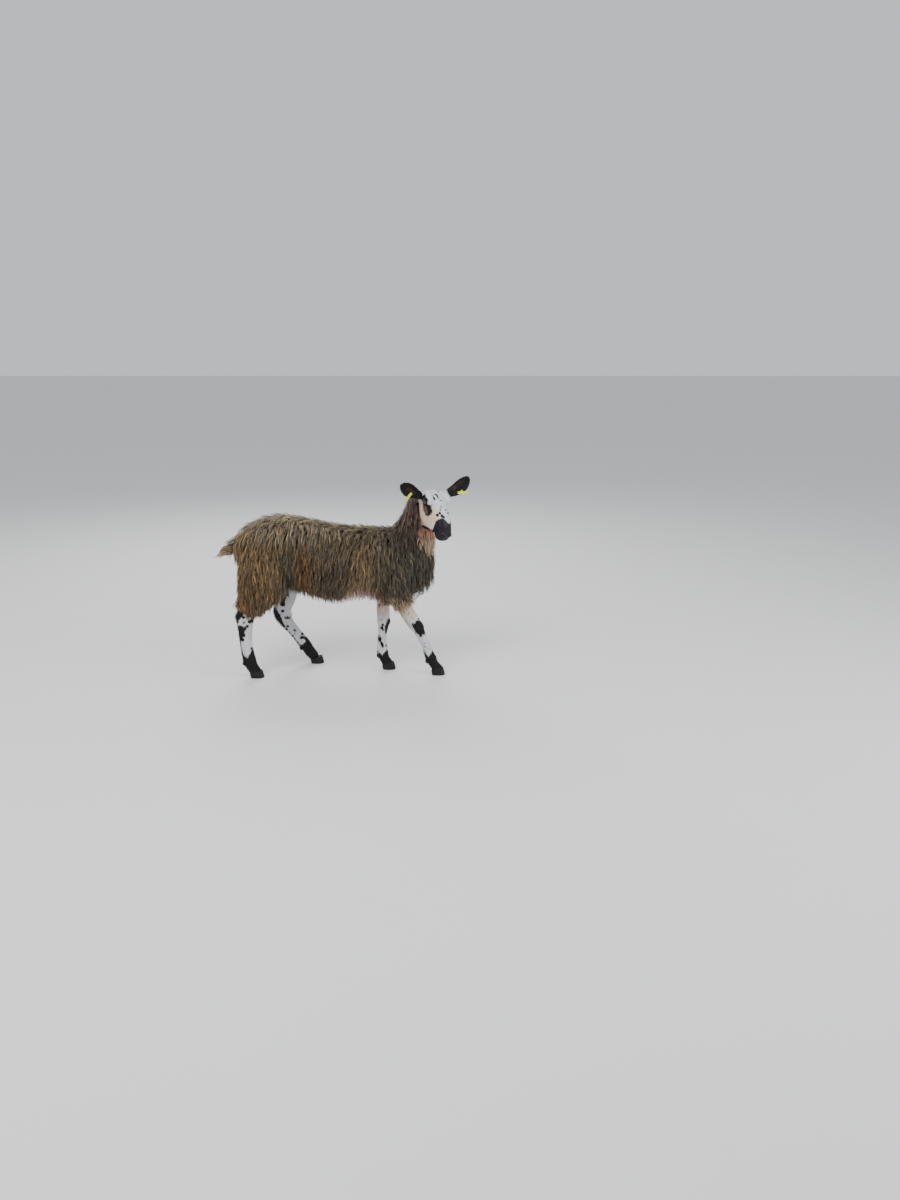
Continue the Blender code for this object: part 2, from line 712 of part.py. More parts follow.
def eyelids(way):
    """An almond ring round one eye, in the head's own axes."""
    builder = bmesh.new()
    centre = Vector((EYE_PLACE.x, way * EYE_PLACE.y, EYE_PLACE.z))
    rings = []
    count = 14
    for k in range(count):
        angle = math.tau * k / count
        along = 0.0145 * math.cos(angle)
        high = 0.0092 * math.sin(angle) + 0.0015 * math.cos(angle)
        out = math.sqrt(max(0.0, (EYE_RADIUS + 0.0008) ** 2 - along ** 2 * 0.8 - high ** 2))
        spot = centre + Vector((along, way * out, high))
        away = Vector((math.cos(angle), 0, math.sin(angle)))
        outward = Vector((0, way, 0))
        ring = []
        for j in range(5):
            turn = math.tau * j / 5
            ring.append(
                builder.verts.new(
                    spot + (away * math.cos(turn) + outward * math.sin(turn)) * 0.0026
                )
            )
        rings.append(ring)
    for k, ring in enumerate(rings):
        following = rings[(k + 1) % count]
        for j in range(5):
            builder.faces.new((ring[j], ring[(j + 1) % 5], following[(j + 1) % 5], following[j]))
    return new_object("lids", builder)


def mouth_cutter():
    """A thin wedge from the lips back to the corners of the mouth."""
    line = ((0.200, -0.0300), (0.176, -0.0325), (0.150, -0.0350), (0.125, -0.0350))
    corner = (0.098, -0.0300)
    builder = bmesh.new()
    rings = []
    for side in (-0.06, 0.06):
        ring = [builder.verts.new((x, side, z + 0.0009)) for x, z in line]
        ring.append(builder.verts.new((corner[0], side, corner[1])))
        ring += [builder.verts.new((x, side, z - 0.0009)) for x, z in reversed(line)]
        rings.append(ring)
    close_rings(builder, rings)
    return new_object("mouth", builder)


def make_head():
    """The bare head with brow, cheeks, lips, lids, mouth line and nostrils."""
    pieces = [skull_tube()]
    for way in (-1, 1):
        pieces += [
            bump("brow", (0.002, way * 0.0470, 0.032), (0.034, 0.022, 0.017), way * 0.2),
            bump("cheek", (0.014, way * 0.028, -0.044), (0.040, 0.018, 0.032)),
            bump("nostril_wing", (0.170, way * 0.0175, -0.002), (0.018, 0.013, 0.014)),
            bump("upper_lip", (0.164, way * 0.017, -0.024), (0.023, 0.016, 0.012)),
            bump("ear_base", (EAR_ROOT.x, way * EAR_ROOT.y * 0.86, EAR_ROOT.z), (0.019, 0.016, 0.018)),
        ]
    pieces.append(bump("chin", (0.155, 0, -0.044), (0.022, 0.018, 0.011)))
    head = union("head", pieces, "white_hair")
    remesh = head.modifiers.new("remesh", "REMESH")
    remesh.mode = "VOXEL"
    remesh.voxel_size = 0.0045
    soften = head.modifiers.new("soften", "SMOOTH")
    soften.factor = 0.5
    soften.iterations = 6
    thin = head.modifiers.new("thin", "DECIMATE")
    thin.ratio = 0.075
    thin.use_symmetry = True
    thin.symmetry_axis = "Y"
    apply_modifiers(head)
    lids = [eyelids(way) for way in (-1, 1)]
    head = union("head", [head, *lids], "white_hair")
    cutters = [mouth_cutter()]
    for way in (-1, 1):
        cutters.append(bump("nostril", (0.187, way * 0.0135, -0.006), (0.010, 0.0035, 0.0075), way * -0.5))
        builder = bmesh.new()
        bmesh.ops.create_uvsphere(builder, u_segments=12, v_segments=8, radius=EYE_RADIUS + GAP * 1.6)
        for vertex in builder.verts:
            vertex.co += Vector((EYE_PLACE.x, way * EYE_PLACE.y, EYE_PLACE.z))
        cutters.append(new_object("socket", builder))
    for cutter in cutters:
        apply_boolean(head, "DIFFERENCE", cutter)
        bpy.data.objects.remove(cutter, do_unlink=True)
    keep_largest(head)
    head.data.transform(head_matrix())
    return head


def eye(name, way):
    builder = bmesh.new()
    bmesh.ops.create_uvsphere(builder, u_segments=12, v_segments=8, radius=EYE_RADIUS)
    for vertex in builder.verts:
        vertex.co += Vector((EYE_PLACE.x, way * EYE_PLACE.y, EYE_PLACE.z))
    made = new_object(name, builder, "eye")
    made.data.transform(head_matrix())
    return made


def ear_frame(way):
    """Root of an ear and its axes in the world: along it, across it, and out of its cup."""
    place = head_matrix()
    root = place @ Vector((EAR_ROOT.x, way * EAR_ROOT.y, EAR_ROOT.z))
    along = (EAR_TIP[way] - root).normalized()
    cup = place.to_3x3() @ EAR_FACING
    cup = (cup - along * cup.dot(along)).normalized()
    return root, along, cup.cross(along), cup


def ear_point(way, share, side):
    """A point of the ear's middle surface; side runs from -1 to 1 across it."""
    root, along, across, cup = ear_frame(way)
    bend = between(EAR, share, 2)
    radius = EAR_WIDTH * between(EAR, share, 1) / (2 * bend)
    sag = across * -way * EAR_SAG[way] * 4 * share * (1 - share)
    return (
        root
        + along * (EAR_LENGTH * share - 0.004)
        + sag
        + across * radius * math.sin(bend * side)
        + cup * radius * (1 - math.cos(bend * side))
    )


def make_ear(name, way, head):
    """A cupped ear, thicker at its root, with both faces split into triangles alike."""
    builder = bmesh.new()
    lengths, sides = 9, 6
    front, back = [], []
    for i in range(lengths + 1):
        share = (i / lengths) ** 0.9
        thick = 0.0042 * (1 - share) + 0.0016
        for j in range(sides + 1):
            side = 2 * j / sides - 1
            here = ear_point(way, share, side)
            step = 0.01
            down = ear_point(way, min(share + step, 1.0), side) - ear_point(way, max(share - step, 0), side)
            over = ear_point(way, share, side + step) - ear_point(way, share, side - step)
            facing = over.cross(down).normalized()
            edge = 0.55 if abs(side) == 1 else 1.0
            front.append(builder.verts.new(here + facing * thick / 2 * edge))
            back.append(builder.verts.new(here - facing * thick / 2 * edge))
    row = sides + 1
    for i in range(lengths):
        for j in range(sides):
            a, b, c, d = i * row + j, i * row + j + 1, (i + 1) * row + j + 1, (i + 1) * row + j
            for p, q, r in ((a, b, c), (a, c, d)):
                builder.faces.new((front[p], front[q], front[r]))
                builder.faces.new((back[r], back[q], back[p]))
    border = [i * row for i in range(lengths)] + [lengths * row + j for j in range(sides)]
    border += [i * row + sides for i in range(lengths, 0, -1)] + list(range(sides, 0, -1))
    for a, b in zip(border, border[1:] + border[:1]):
        builder.faces.new((front[a], front[b], back[b], back[a]))
    ear = new_object(name, builder, "black_hair")
    carve(ear, head)
    return ear


def box(name, middle, size, axes):
    """A block with the given sides along three axes."""
    builder = bmesh.new()
    bmesh.ops.create_cube(builder, size=1.0)
    for vertex in builder.verts:
        offset = [axis * length * c for axis, length, c in zip(axes, size, vertex.co)]
        vertex.co = sum(offset, middle.copy())
    return new_object(name, builder)


def make_tag(name, way):
    """A strap tag over the ear's lower edge: a bar on each face and the stud between them."""
    _, _, across, cup = ear_frame(way)
    down = across * -way
    share, side = TAG_PLACE[way]
    stud_place = ear_point(way, share, -way * side)
    long_way = TAG_LONG_WAY[way]
    long_way = (long_way - cup * long_way.dot(cup)).normalized()
    axes = (long_way, cup.cross(long_way), cup)
    lift = 0.0078
    pieces = []
    for face in (1, -1):
        middle = stud_place + down * 0.009 + cup * lift * face
        pieces.append(box(name + "_bar", middle, TAG_BAR, axes))
    pieces.append(box(name + "_stud", stud_place + down * 0.001, (0.005, 0.005, 2 * lift + 0.001), axes))
    return union(name, pieces, "tag")


def centre_over_origin():
    """Moves the whole model so that the middle of its bounding box is over the origin."""
    meshes = [o.data for o in bpy.context.scene.objects]
    low = [min(v.co[k] for m in meshes for v in m.vertices) for k in range(3)]
    high = [max(v.co[k] for m in meshes for v in m.vertices) for k in range(3)]
    shift = Matrix.Translation((-(low[0] + high[0]) / 2, -(low[1] + high[1]) / 2, -low[2]))
    for mesh in meshes:
        mesh.transform(shift)


def main():
    clear_scene()
    head = make_head()
    ears = []
    for way, side in ((-1, "right"), (1, "left")):
        eye("eye_" + side, way)
        ear = make_ear("ear_" + side, way, head)
        tag = make_tag("tag_" + side, way)
        carve(ear, tag)
        ears += [ear, tag]
    legs = []
    for foot, rows in LEGS.items():
        end, side = foot.split("_")
        legs.append(bare_leg(f"{end}leg_{side}", rows, foot))
        claw("claw_" + foot + "_outer", foot, 1 if foot.endswith("left") else -1)
        claw("claw_" + foot + "_inner", foot, -1 if foot.endswith("left") else 1)
    woolly_body([head, *ears, *legs])
    centre_over_origin()


main()
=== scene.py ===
"""Dresses the packed ewe: one skin, eyes, horn, ear tags, and a coat of wool and short hair."""

import math

import bmesh
import bpy
import numpy as np
from mathutils import Matrix, Vector
from mathutils.bvhtree import BVHTree


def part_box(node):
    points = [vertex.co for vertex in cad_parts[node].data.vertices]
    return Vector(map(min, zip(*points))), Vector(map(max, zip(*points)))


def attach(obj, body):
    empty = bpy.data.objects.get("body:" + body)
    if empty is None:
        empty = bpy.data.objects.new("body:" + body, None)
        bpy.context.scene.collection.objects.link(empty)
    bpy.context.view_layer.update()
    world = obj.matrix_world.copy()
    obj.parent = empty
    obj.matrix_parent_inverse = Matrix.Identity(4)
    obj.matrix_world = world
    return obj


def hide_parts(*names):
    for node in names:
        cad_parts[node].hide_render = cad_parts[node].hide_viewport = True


bl_info = {
    "name": "Long-Woolled Ewe",
    "version": (1, 0, 0),
    "blender": (4, 5, 0),
    "location": "View3D > Sidebar > Ewe",
    "description": "Skin, eyes, horn, ear tags and coat of a walking ewe",
    "category": "Add Mesh",
}

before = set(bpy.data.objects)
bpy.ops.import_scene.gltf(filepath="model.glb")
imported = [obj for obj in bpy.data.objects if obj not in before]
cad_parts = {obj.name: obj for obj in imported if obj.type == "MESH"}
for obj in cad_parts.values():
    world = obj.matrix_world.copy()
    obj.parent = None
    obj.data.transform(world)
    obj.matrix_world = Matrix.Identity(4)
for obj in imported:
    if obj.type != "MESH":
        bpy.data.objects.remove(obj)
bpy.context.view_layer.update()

# Skin of the trunk from tail to chest: x, top, bottom, half width
TRUNK = (
    (-0.487, 0.628, 0.550, 0.045),
    (-0.458, 0.670, 0.522, 0.080),
    (-0.400, 0.711, 0.503, 0.112),
    (-0.310, 0.737, 0.488, 0.125),
    (-0.220, 0.736, 0.470, 0.130),
    (-0.120, 0.712, 0.436, 0.134),
    (-0.020, 0.693, 0.414, 0.137),
    (0.080, 0.685, 0.414, 0.136),
    (0.170, 0.686, 0.424, 0.130),
    (0.250, 0.682, 0.432, 0.119),
    (0.320, 0.662, 0.444, 0.100),
    (0.370, 0.625, 0.465, 0.074),
    (0.400, 0.585, 0.500, 0.040),
)
# Tubes of flesh: centre x, y, z, half width, depth behind, depth in front
NECK = (
    (0.250, 0.000, 0.560, 0.108, 0.120, 0.105),
    (0.300, -0.002, 0.630, 0.092, 0.108, 0.088),
    (0.334, -0.010, 0.700, 0.070, 0.080, 0.068),
    (0.358, -0.024, 0.765, 0.058, 0.062, 0.056),
    (0.372, -0.040, 0.822, 0.050, 0.046, 0.046),
    (0.380, -0.052, 0.856, 0.040, 0.034, 0.036),
)
TAIL = (
    (-0.430, 0.000, 0.650, 0.040, 0.028, 0.030),
    (-0.480, 0.000, 0.630, 0.032, 0.024, 0.024),
    (-0.525, 0.000, 0.606, 0.024, 0.016, 0.016),
    (-0.570, 0.000, 0.590, 0.013, 0.009, 0.009),
)
THIGH_RIGHT = (
    (-0.330, -0.052, 0.640, 0.062, 0.110, 0.110),
    (-0.365, -0.078, 0.540, 0.062, 0.100, 0.115),
    (-0.388, -0.095, 0.455, 0.055, 0.086, 0.104),
    (-0.412, -0.104, 0.395, 0.044, 0.062, 0.074),
    (-0.437, -0.108, 0.350, 0.033, 0.042, 0.046),
    (-0.450, -0.110, 0.328, 0.027, 0.034, 0.032),
)
THIGH_LEFT = (
    (-0.320, 0.052, 0.640, 0.062, 0.110, 0.110),
    (-0.310, 0.078, 0.540, 0.062, 0.120, 0.120),
    (-0.290, 0.093, 0.460, 0.054, 0.100, 0.105),
    (-0.280, 0.098, 0.415, 0.044, 0.070, 0.075),
    (-0.280, 0.098, 0.382, 0.034, 0.045, 0.045),
)
SLEEVE_RIGHT = (
    (0.270, -0.062, 0.580, 0.058, 0.080, 0.075),
    (0.262, -0.078, 0.480, 0.048, 0.062, 0.060),
    (0.265, -0.082, 0.430, 0.038, 0.048, 0.045),
    (0.270, -0.083, 0.398, 0.030, 0.038, 0.036),
)
SLEEVE_LEFT = (
    (0.250, 0.060, 0.580, 0.056, 0.080, 0.075),
    (0.225, 0.072, 0.480, 0.046, 0.060, 0.058),
    (0.215, 0.072, 0.430, 0.036, 0.046, 0.042),
    (0.212, 0.070, 0.398, 0.029, 0.036, 0.034),
)
FORELEG_RIGHT = (
    (0.256, -0.081, 0.440, 0.026, 0.036, 0.034),
    (0.275, -0.082, 0.385, 0.024, 0.030, 0.029),
    (0.303, -0.079, 0.318, 0.0235, 0.0350, 0.0265),
    (0.333, -0.074, 0.262, 0.0245, 0.0290, 0.0275),
    (0.350, -0.071, 0.228, 0.0235, 0.0260, 0.0260),
    (0.368, -0.068, 0.188, 0.0185, 0.0200, 0.0195),
    (0.386, -0.065, 0.150, 0.0180, 0.0195, 0.0190),
    (0.398, -0.063, 0.110, 0.0195, 0.0225, 0.0210),
    (0.409, -0.062, 0.080, 0.0230, 0.0250, 0.0240),
    (0.424, -0.062, 0.052, 0.0210, 0.0215, 0.0205),
    (0.437, -0.062, 0.030, 0.0235, 0.0250, 0.0250),
    (0.441, -0.062, 0.020, 0.0200, 0.0220, 0.0220),
)
FORELEG_LEFT = (
    (0.206, 0.070, 0.440, 0.026, 0.036, 0.034),
    (0.190, 0.066, 0.385, 0.024, 0.032, 0.031),
    (0.176, 0.056, 0.315, 0.0240, 0.0305, 0.0290),
    (0.177, 0.047, 0.258, 0.0250, 0.0295, 0.0290),
    (0.176, 0.042, 0.225, 0.0235, 0.0270, 0.0265),
    (0.172, 0.036, 0.186, 0.0185, 0.0205, 0.0205),
    (0.169, 0.031, 0.150, 0.0180, 0.0205, 0.0195),
    (0.169, 0.027, 0.112, 0.0200, 0.0240, 0.0225),
    (0.171, 0.024, 0.082, 0.0235, 0.0270, 0.0250),
    (0.182, 0.022, 0.052, 0.0215, 0.0230, 0.0215),
    (0.192, 0.021, 0.030, 0.0235, 0.0255, 0.0255),
    (0.197, 0.021, 0.020, 0.0200, 0.0220, 0.0220),
)
HINDLEG_RIGHT = (
    (-0.436, -0.108, 0.375, 0.026, 0.036, 0.036),
    (-0.451, -0.110, 0.338, 0.025, 0.040, 0.038),
    (-0.459, -0.112, 0.302, 0.0255, 0.0450, 0.0400),
    (-0.462, -0.112, 0.268, 0.0240, 0.0400, 0.0350),
    (-0.464, -0.111, 0.225, 0.0215, 0.0330, 0.0300),
    (-0.463, -0.110, 0.170, 0.0200, 0.0290, 0.0270),
    (-0.459, -0.108, 0.125, 0.0215, 0.0290, 0.0280),
    (-0.452, -0.107, 0.085, 0.0245, 0.0310, 0.0285),
    (-0.442, -0.106, 0.054, 0.0225, 0.0270, 0.0260),
    (-0.431, -0.105, 0.032, 0.0240, 0.0265, 0.0265),
    (-0.427, -0.105, 0.022, 0.0205, 0.0225, 0.0225),
)
HINDLEG_LEFT = (
    (-0.276, 0.098, 0.425, 0.026, 0.038, 0.038),
    (-0.279, 0.097, 0.382, 0.025, 0.036, 0.035),
    (-0.293, 0.096, 0.335, 0.0240, 0.0350, 0.0340),
    (-0.317, 0.096, 0.285, 0.0250, 0.0420, 0.0360),
    (-0.322, 0.097, 0.252, 0.0250, 0.0430, 0.0400),
    (-0.303, 0.100, 0.212, 0.0220, 0.0330, 0.0320),
    (-0.273, 0.104, 0.172, 0.0200, 0.0270, 0.0265),
    (-0.246, 0.108, 0.134, 0.0210, 0.0270, 0.0265),
    (-0.221, 0.111, 0.098, 0.0245, 0.0290, 0.0275),
    (-0.203, 0.113, 0.068, 0.0230, 0.0260, 0.0250),
    (-0.184, 0.115, 0.038, 0.0235, 0.0255, 0.0255),
    (-0.179, 0.115, 0.026, 0.0205, 0.0225, 0.0225),
)
# Floor point under the middle of each foot, and where its dewclaws sit
FEET = {
    "fore_right": ((0.442, -0.062), (0.391, -0.062, 0.067)),
    "fore_left": ((0.200, 0.021), (0.151, 0.023, 0.067)),
    "hind_right": ((-0.421, -0.105), (-0.476, -0.106, 0.070)),
    "hind_left": ((-0.164, 0.115), (-0.239, 0.112, 0.078)),
}
HOOF_LENGTH, HOOF_HEIGHT, HALF_FOOT = 0.060, 0.034, 0.0245
# The tail's wool begins behind this x and above this height
TAIL_START, TAIL_UNDERSIDE = -0.50, 0.56
# Where the wool's tips end above the floor: x, right side, left side
HEM = (
    (-0.60, 0.345, 0.380),
    (-0.47, 0.335, 0.375),
    (-0.44, 0.302, 0.370),
    (-0.40, 0.297, 0.366),
    (-0.36, 0.332, 0.362),
    (-0.31, 0.360, 0.366),
    (-0.26, 0.400, 0.380),
    (-0.20, 0.390, 0.385),
    (-0.14, 0.354, 0.366),
    (-0.08, 0.345, 0.358),
    (0.00, 0.360, 0.370),
    (0.04, 0.376, 0.376),
    (0.09, 0.385, 0.380),
    (0.15, 0.368, 0.362),
    (0.20, 0.330, 0.312),
    (0.26, 0.326, 0.306),
    (0.30, 0.348, 0.340),
    (0.37, 0.376, 0.376),
    (0.44, 0.430, 0.430),
)
# How far forward the hanging wool leans: x and slope
LEAN = (
    (-0.60, -0.10),
    (-0.40, 0.02),
    (-0.10, -0.10),
    (0.05, -0.20),
    (0.16, 0.0),
    (0.32, 0.20),
    (0.44, 0.25),
)

# Head: where the point midway between the eyes is, and how the face is turned
HEAD_CENTRE = Vector((0.424, -0.100, 0.8466))
# How far from it the fields of the head, its shaped face and its own hair reach
HEAD_REACH, FACE_REACH, HEAD_HAIR_REACH = 0.24, 0.22, 0.26
HEAD_PLACE = (
    Matrix.Translation(HEAD_CENTRE)
    @ Matrix.Rotation(math.radians(-55), 4, "Z")
    @ Matrix.Rotation(math.radians(54), 4, "Y")
    @ Matrix.Rotation(math.radians(-5), 4, "X")
)
# Sections from poll to nose in the head's own axes: x, top, bottom, half width, how square
HEAD = (
    (-0.053, 0.002, -0.032, 0.032, 0.00),
    (-0.044, 0.023, -0.046, 0.045, 0.00),
    (-0.026, 0.038, -0.058, 0.052, 0.04),
    (0.000, 0.047, -0.076, 0.0545, 0.10),
    (0.030, 0.050, -0.093, 0.0520, 0.16),
    (0.056, 0.050, -0.097, 0.0475, 0.22),
    (0.085, 0.047, -0.084, 0.0425, 0.26),
    (0.115, 0.041, -0.062, 0.0385, 0.28),
    (0.140, 0.032, -0.054, 0.0370, 0.26),
    (0.160, 0.021, -0.051, 0.0365, 0.20),
    (0.175, 0.006, -0.046, 0.0330, 0.12),
    (0.184, -0.008, -0.038, 0.0240, 0.04),
    (0.189, -0.017, -0.031, 0.0120, 0.00),
)
EYE_PLACE = Vector((0.004, 0.0530, 0.0125))
EYE_RADIUS = 0.0135
EAR_ROOT = Vector((-0.028, 0.061, 0.002))
EAR_LENGTH = 0.152
EAR_WIDTH = 0.066
EAR_TIP = {-1: Vector((0.283, -0.229, 0.936)), 1: Vector((0.596, -0.046, 0.951))}
EAR_SAG = {-1: 0.003, 1: 0.014}
EAR_FACING = Vector((0.36, -0.61, 0.70))
# From root to tip: share of the ear's length, share of its width, and how far it is cupped
EAR = (
    (0.00, 0.46, 1.25),
    (0.12, 0.58, 1.05),
    (0.30, 0.74, 0.75),
    (0.48, 0.92, 0.60),
    (0.66, 1.00, 0.50),
    (0.80, 0.88, 0.42),
    (0.92, 0.60, 0.36),
    (0.98, 0.34, 0.32),
    (1.00, 0.12, 0.30),
)
# Ear tags: how far up and across the ear, which way the bar runs, its size, and how far it stands off
TAG_PLACE = {-1: (0.56, 0.62), 1: (0.60, 0.62)}
TAG_LONG_WAY = {-1: Vector((0.70, 0.18, 0.68)), 1: Vector((1.0, 0.0, 0.05))}
TAG_BAR = Vector((0.046, 0.011, 0.0022))
TAG_LIFT = 0.0078


def mirrored(spot, way):
    """A spot of the head's left side, for -1 as it is on the right."""
    return Vector((spot.x, way * spot.y, spot.z))


def clamp(value):
    """The value, or the nearer one of 0 and 1."""
    return max(0.0, min(1.0, value))


def bell(offset, reach):
    """1 in the middle, and less the farther off."""
    return math.exp(-((offset / reach) ** 2))


def bells(offsets, reach):
    """The same for an array."""
    return np.exp(-((offsets / reach) ** 2))


def model_shift():
    """From the axes of the tables above to the packed model's."""
    low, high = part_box("eye_right")
    here = HEAD_PLACE @ mirrored(EYE_PLACE, -1)
    shift = (low + high) / 2 - here
    return Vector((shift.x, shift.y, 0.0))


SHIFT = model_shift()


# Settings that a user would change
class SkinSettings(bpy.types.PropertyGroup):
    """Skin and its short hair."""

    voxel: bpy.props.FloatProperty(
        name="Voxel", description="Fineness of the skin's surface", default=0.0026, min=0.0015, unit="LENGTH"
    )
    white: bpy.props.FloatVectorProperty(
        name="White", description="Colour of the white hair", default=(0.68, 0.68, 0.70), subtype="COLOR"
    )
    black: bpy.props.FloatVectorProperty(
        name="Black", description="Colour of the black hair", default=(0.0065, 0.0055, 0.006), subtype="COLOR"
    )
    cream: bpy.props.FloatVectorProperty(
        name="Cream",
        description="Colour of the white hair of cheeks and forearms",
        default=(0.70, 0.57, 0.42),
        subtype="COLOR",
    )
    tan: bpy.props.FloatVectorProperty(
        name="Tan", description="Colour of the tan hair", default=(0.52, 0.26, 0.13), subtype="COLOR"
    )
    hair_count: bpy.props.IntProperty(
        name="Hair Tufts", description="Short tufts on head and legs", default=15000, min=0
    )
    hair_length: bpy.props.FloatProperty(
        name="Hair Length", description="Length of a short tuft on the leg", default=0.010, unit="LENGTH"
    )


class WoolSettings(bpy.types.PropertyGroup):
    """Long wool."""

    locks: bpy.props.IntProperty(
        name="Locks", description="Locks over the whole fleece", default=10400, min=100
    )
    strands: bpy.props.IntProperty(name="Strands", description="Strands in each lock", default=4, min=1)
    length: bpy.props.FloatProperty(
        name="Length", description="Length of a strand on the flank", default=0.074, unit="LENGTH"
    )
    width: bpy.props.FloatProperty(
        name="Width", description="Width of a strand at its middle", default=0.0025, unit="LENGTH"
    )
    stand: bpy.props.FloatProperty(
        name="Stand", description="How far the tips stand off the skin", default=0.024, unit="LENGTH"
    )
    curl: bpy.props.FloatProperty(
        name="Curl", description="How far a strand swings to each side", default=0.0019, unit="LENGTH"
    )
    wave: bpy.props.FloatProperty(
        name="Wave", description="Length of one wave of a strand", default=0.056, unit="LENGTH"
    )
    # Painted shade deep in the fleece: the dark colour of the skin between the strands
    deep_shade: bpy.props.FloatVectorProperty(
        name="Ground",
        description="Colour deep between the strands",
        default=(0.030, 0.023, 0.015),
        subtype="COLOR",
    )


class EyeSettings(bpy.types.PropertyGroup):
    """Eyes."""

    iris: bpy.props.FloatVectorProperty(
        name="Iris", description="Colour of the iris", default=(0.060, 0.050, 0.034), subtype="COLOR"
    )
    pupil_width: bpy.props.FloatProperty(
        name="Pupil Width", description="Length of the level pupil", default=0.0088, unit="LENGTH"
    )


class HornSettings(bpy.types.PropertyGroup):
    """Claws and dewclaws."""

    colour: bpy.props.FloatVectorProperty(
        name="Colour", description="Colour of the horn", default=(0.0045, 0.004, 0.004), subtype="COLOR"
    )


class TagSettings(bpy.types.PropertyGroup):
    """Ear tags."""

    colour: bpy.props.FloatVectorProperty(
        name="Colour", description="Colour of the plastic", default=(0.70, 0.74, 0.06), subtype="COLOR"
    )


class StageSettings(bpy.types.PropertyGroup):
    """Floor, light and camera."""

    floor: bpy.props.FloatVectorProperty(
        name="Floor", description="Colour of the floor", default=(0.74, 0.74, 0.73), subtype="COLOR"
    )
    light: bpy.props.FloatProperty(
        name="Light", description="Strength of the main light", default=195.0, min=0.0, unit="POWER"
    )


# Materials
class Value:
    """A socket of a finish, on which arithmetic adds Math nodes."""

    def __init__(self, finish, socket):
        self.finish = finish
        self.socket = socket

    def maths(self, operation, *values):
        inputs = dict(enumerate(values))
        return self.finish.node("ShaderNodeMath", {"operation": operation}, inputs)

    def __add__(self, other):
        return self.maths("ADD", self, other)

    def __radd__(self, other):
        return self.maths("ADD", other, self)

    def __sub__(self, other):
        return self.maths("SUBTRACT", self, other)

    def __rsub__(self, other):
        return self.maths("SUBTRACT", other, self)

    def __mul__(self, other):
        return self.maths("MULTIPLY", self, other)

    def __rmul__(self, other):
        return self.maths("MULTIPLY", other, self)

    def __pow__(self, other):
        return self.maths("POWER", self, other)


class Finish:
    """One material, and the nodes that it is made of."""

    def __init__(self, name, **constants):
        self.material = bpy.data.materials.new(name)
        self.material.use_nodes = True
        self.tree = self.material.node_tree
        self.surface = self.tree.nodes["Principled BSDF"]
        for socket, value in constants.items():
            self.surface.inputs[socket.replace("_", " ")].default_value = value

    def node(self, kind, settings, inputs, output=0):
        """Adds a node, sets it up, then gives its sockets their values or links."""
        made = self.tree.nodes.new(kind)
        for name, value in settings.items():
            setattr(made, name, value)
        for key, value in inputs.items():
            if isinstance(value, Value):
                self.tree.links.new(value.socket, made.inputs[key])
            else:
                made.inputs[key].default_value = value
        return Value(self, made.outputs[output])

    def feed(self, socket, value):
        self.tree.links.new(value.socket, self.surface.inputs[socket])

    def number(self, name):
        return self.node("ShaderNodeAttribute", {"attribute_name": name}, {}, "Fac")

    def place(self, name):
        return self.node("ShaderNodeAttribute", {"attribute_name": name}, {}, "Vector")

    def colour(self, name):
        return self.node("ShaderNodeAttribute", {"attribute_name": name}, {}, "Color")

    def mix(self, share, first, second, way="MIX"):
        """Colours mixed by a share; a plain colour may have three numbers."""
        first, second = (c if isinstance(c, Value) else (*c[:3], 1.0) for c in (first, second))
        settings = {"data_type": "RGBA", "blend_type": way}
        return self.node("ShaderNodeMix", settings, {0: share, 6: first, 7: second}, 2)

    def noise(self, vector, scale, detail=2.0, rough=0.5):
        inputs = {"Vector": vector, "Scale": scale, "Detail": detail, "Roughness": rough}
        return self.node("ShaderNodeTexNoise", {}, inputs)

    def stretch(self, vector, sizes):
        settings = {"operation": "MULTIPLY"}
        return self.node("ShaderNodeVectorMath", settings, {0: vector, 1: sizes})

    def step(self, value, low, high):
        """A smooth step from 0 at low to 1 at high."""
        settings = {"interpolation_type": "SMOOTHSTEP"}
        return self.node("ShaderNodeMapRange", settings, {0: value, 1: low, 2: high})

    def bump(self, height, strength, distance):
        inputs = {"Height": height, "Strength": strength, "Distance": distance}
        self.feed("Normal", self.node("ShaderNodeBump", {}, inputs, "Normal"))


# Colours of skin and hair that are no settings
FRECKLES = (0.20, 0.20, 0.22)
BLACK_SHEEN = (0.017, 0.014, 0.013)
BROWN_HAIR = (0.125, 0.068, 0.046)
MUZZLE_DARK, MUZZLE_GREY = (0.0055, 0.005, 0.0065), (0.017, 0.015, 0.021)
# Painted shade in the hollows of the nostrils
NOSTRIL_SHADE = (0.002, 0.002, 0.0022)
LIP_PINK = (0.46, 0.27, 0.24)
MUZZLE_HAIR = (0.03, 0.024, 0.026)
LID_DARK, LID_PALE = (0.016, 0.012, 0.012), (0.05, 0.036, 0.033)
# Colours and measures of an eye's face
PUPIL, IRIS_RIM = (0.004, 0.004, 0.006), (0.02, 0.014, 0.01)
EYE_WHITE, EYE_VEINS = (0.30, 0.24, 0.20), (0.18, 0.12, 0.10)
PUPIL_HALF_HEIGHT, IRIS_RIM_START, IRIS_RADIUS = 0.0021, 0.0075, 0.0098
# How wool looks with painted shade at its root and a painted sheen in its pale streaks, as shares of its
# colour, and dirt on horn and tags
WOOL_ROOT_SHADE, WOOL_SHEEN = (0.20, 0.19, 0.18), (1.55, 1.5, 1.4)
HORN_DIRT, TAG_WEAR = (0.026, 0.022, 0.018), (0.34, 0.33, 0.06)


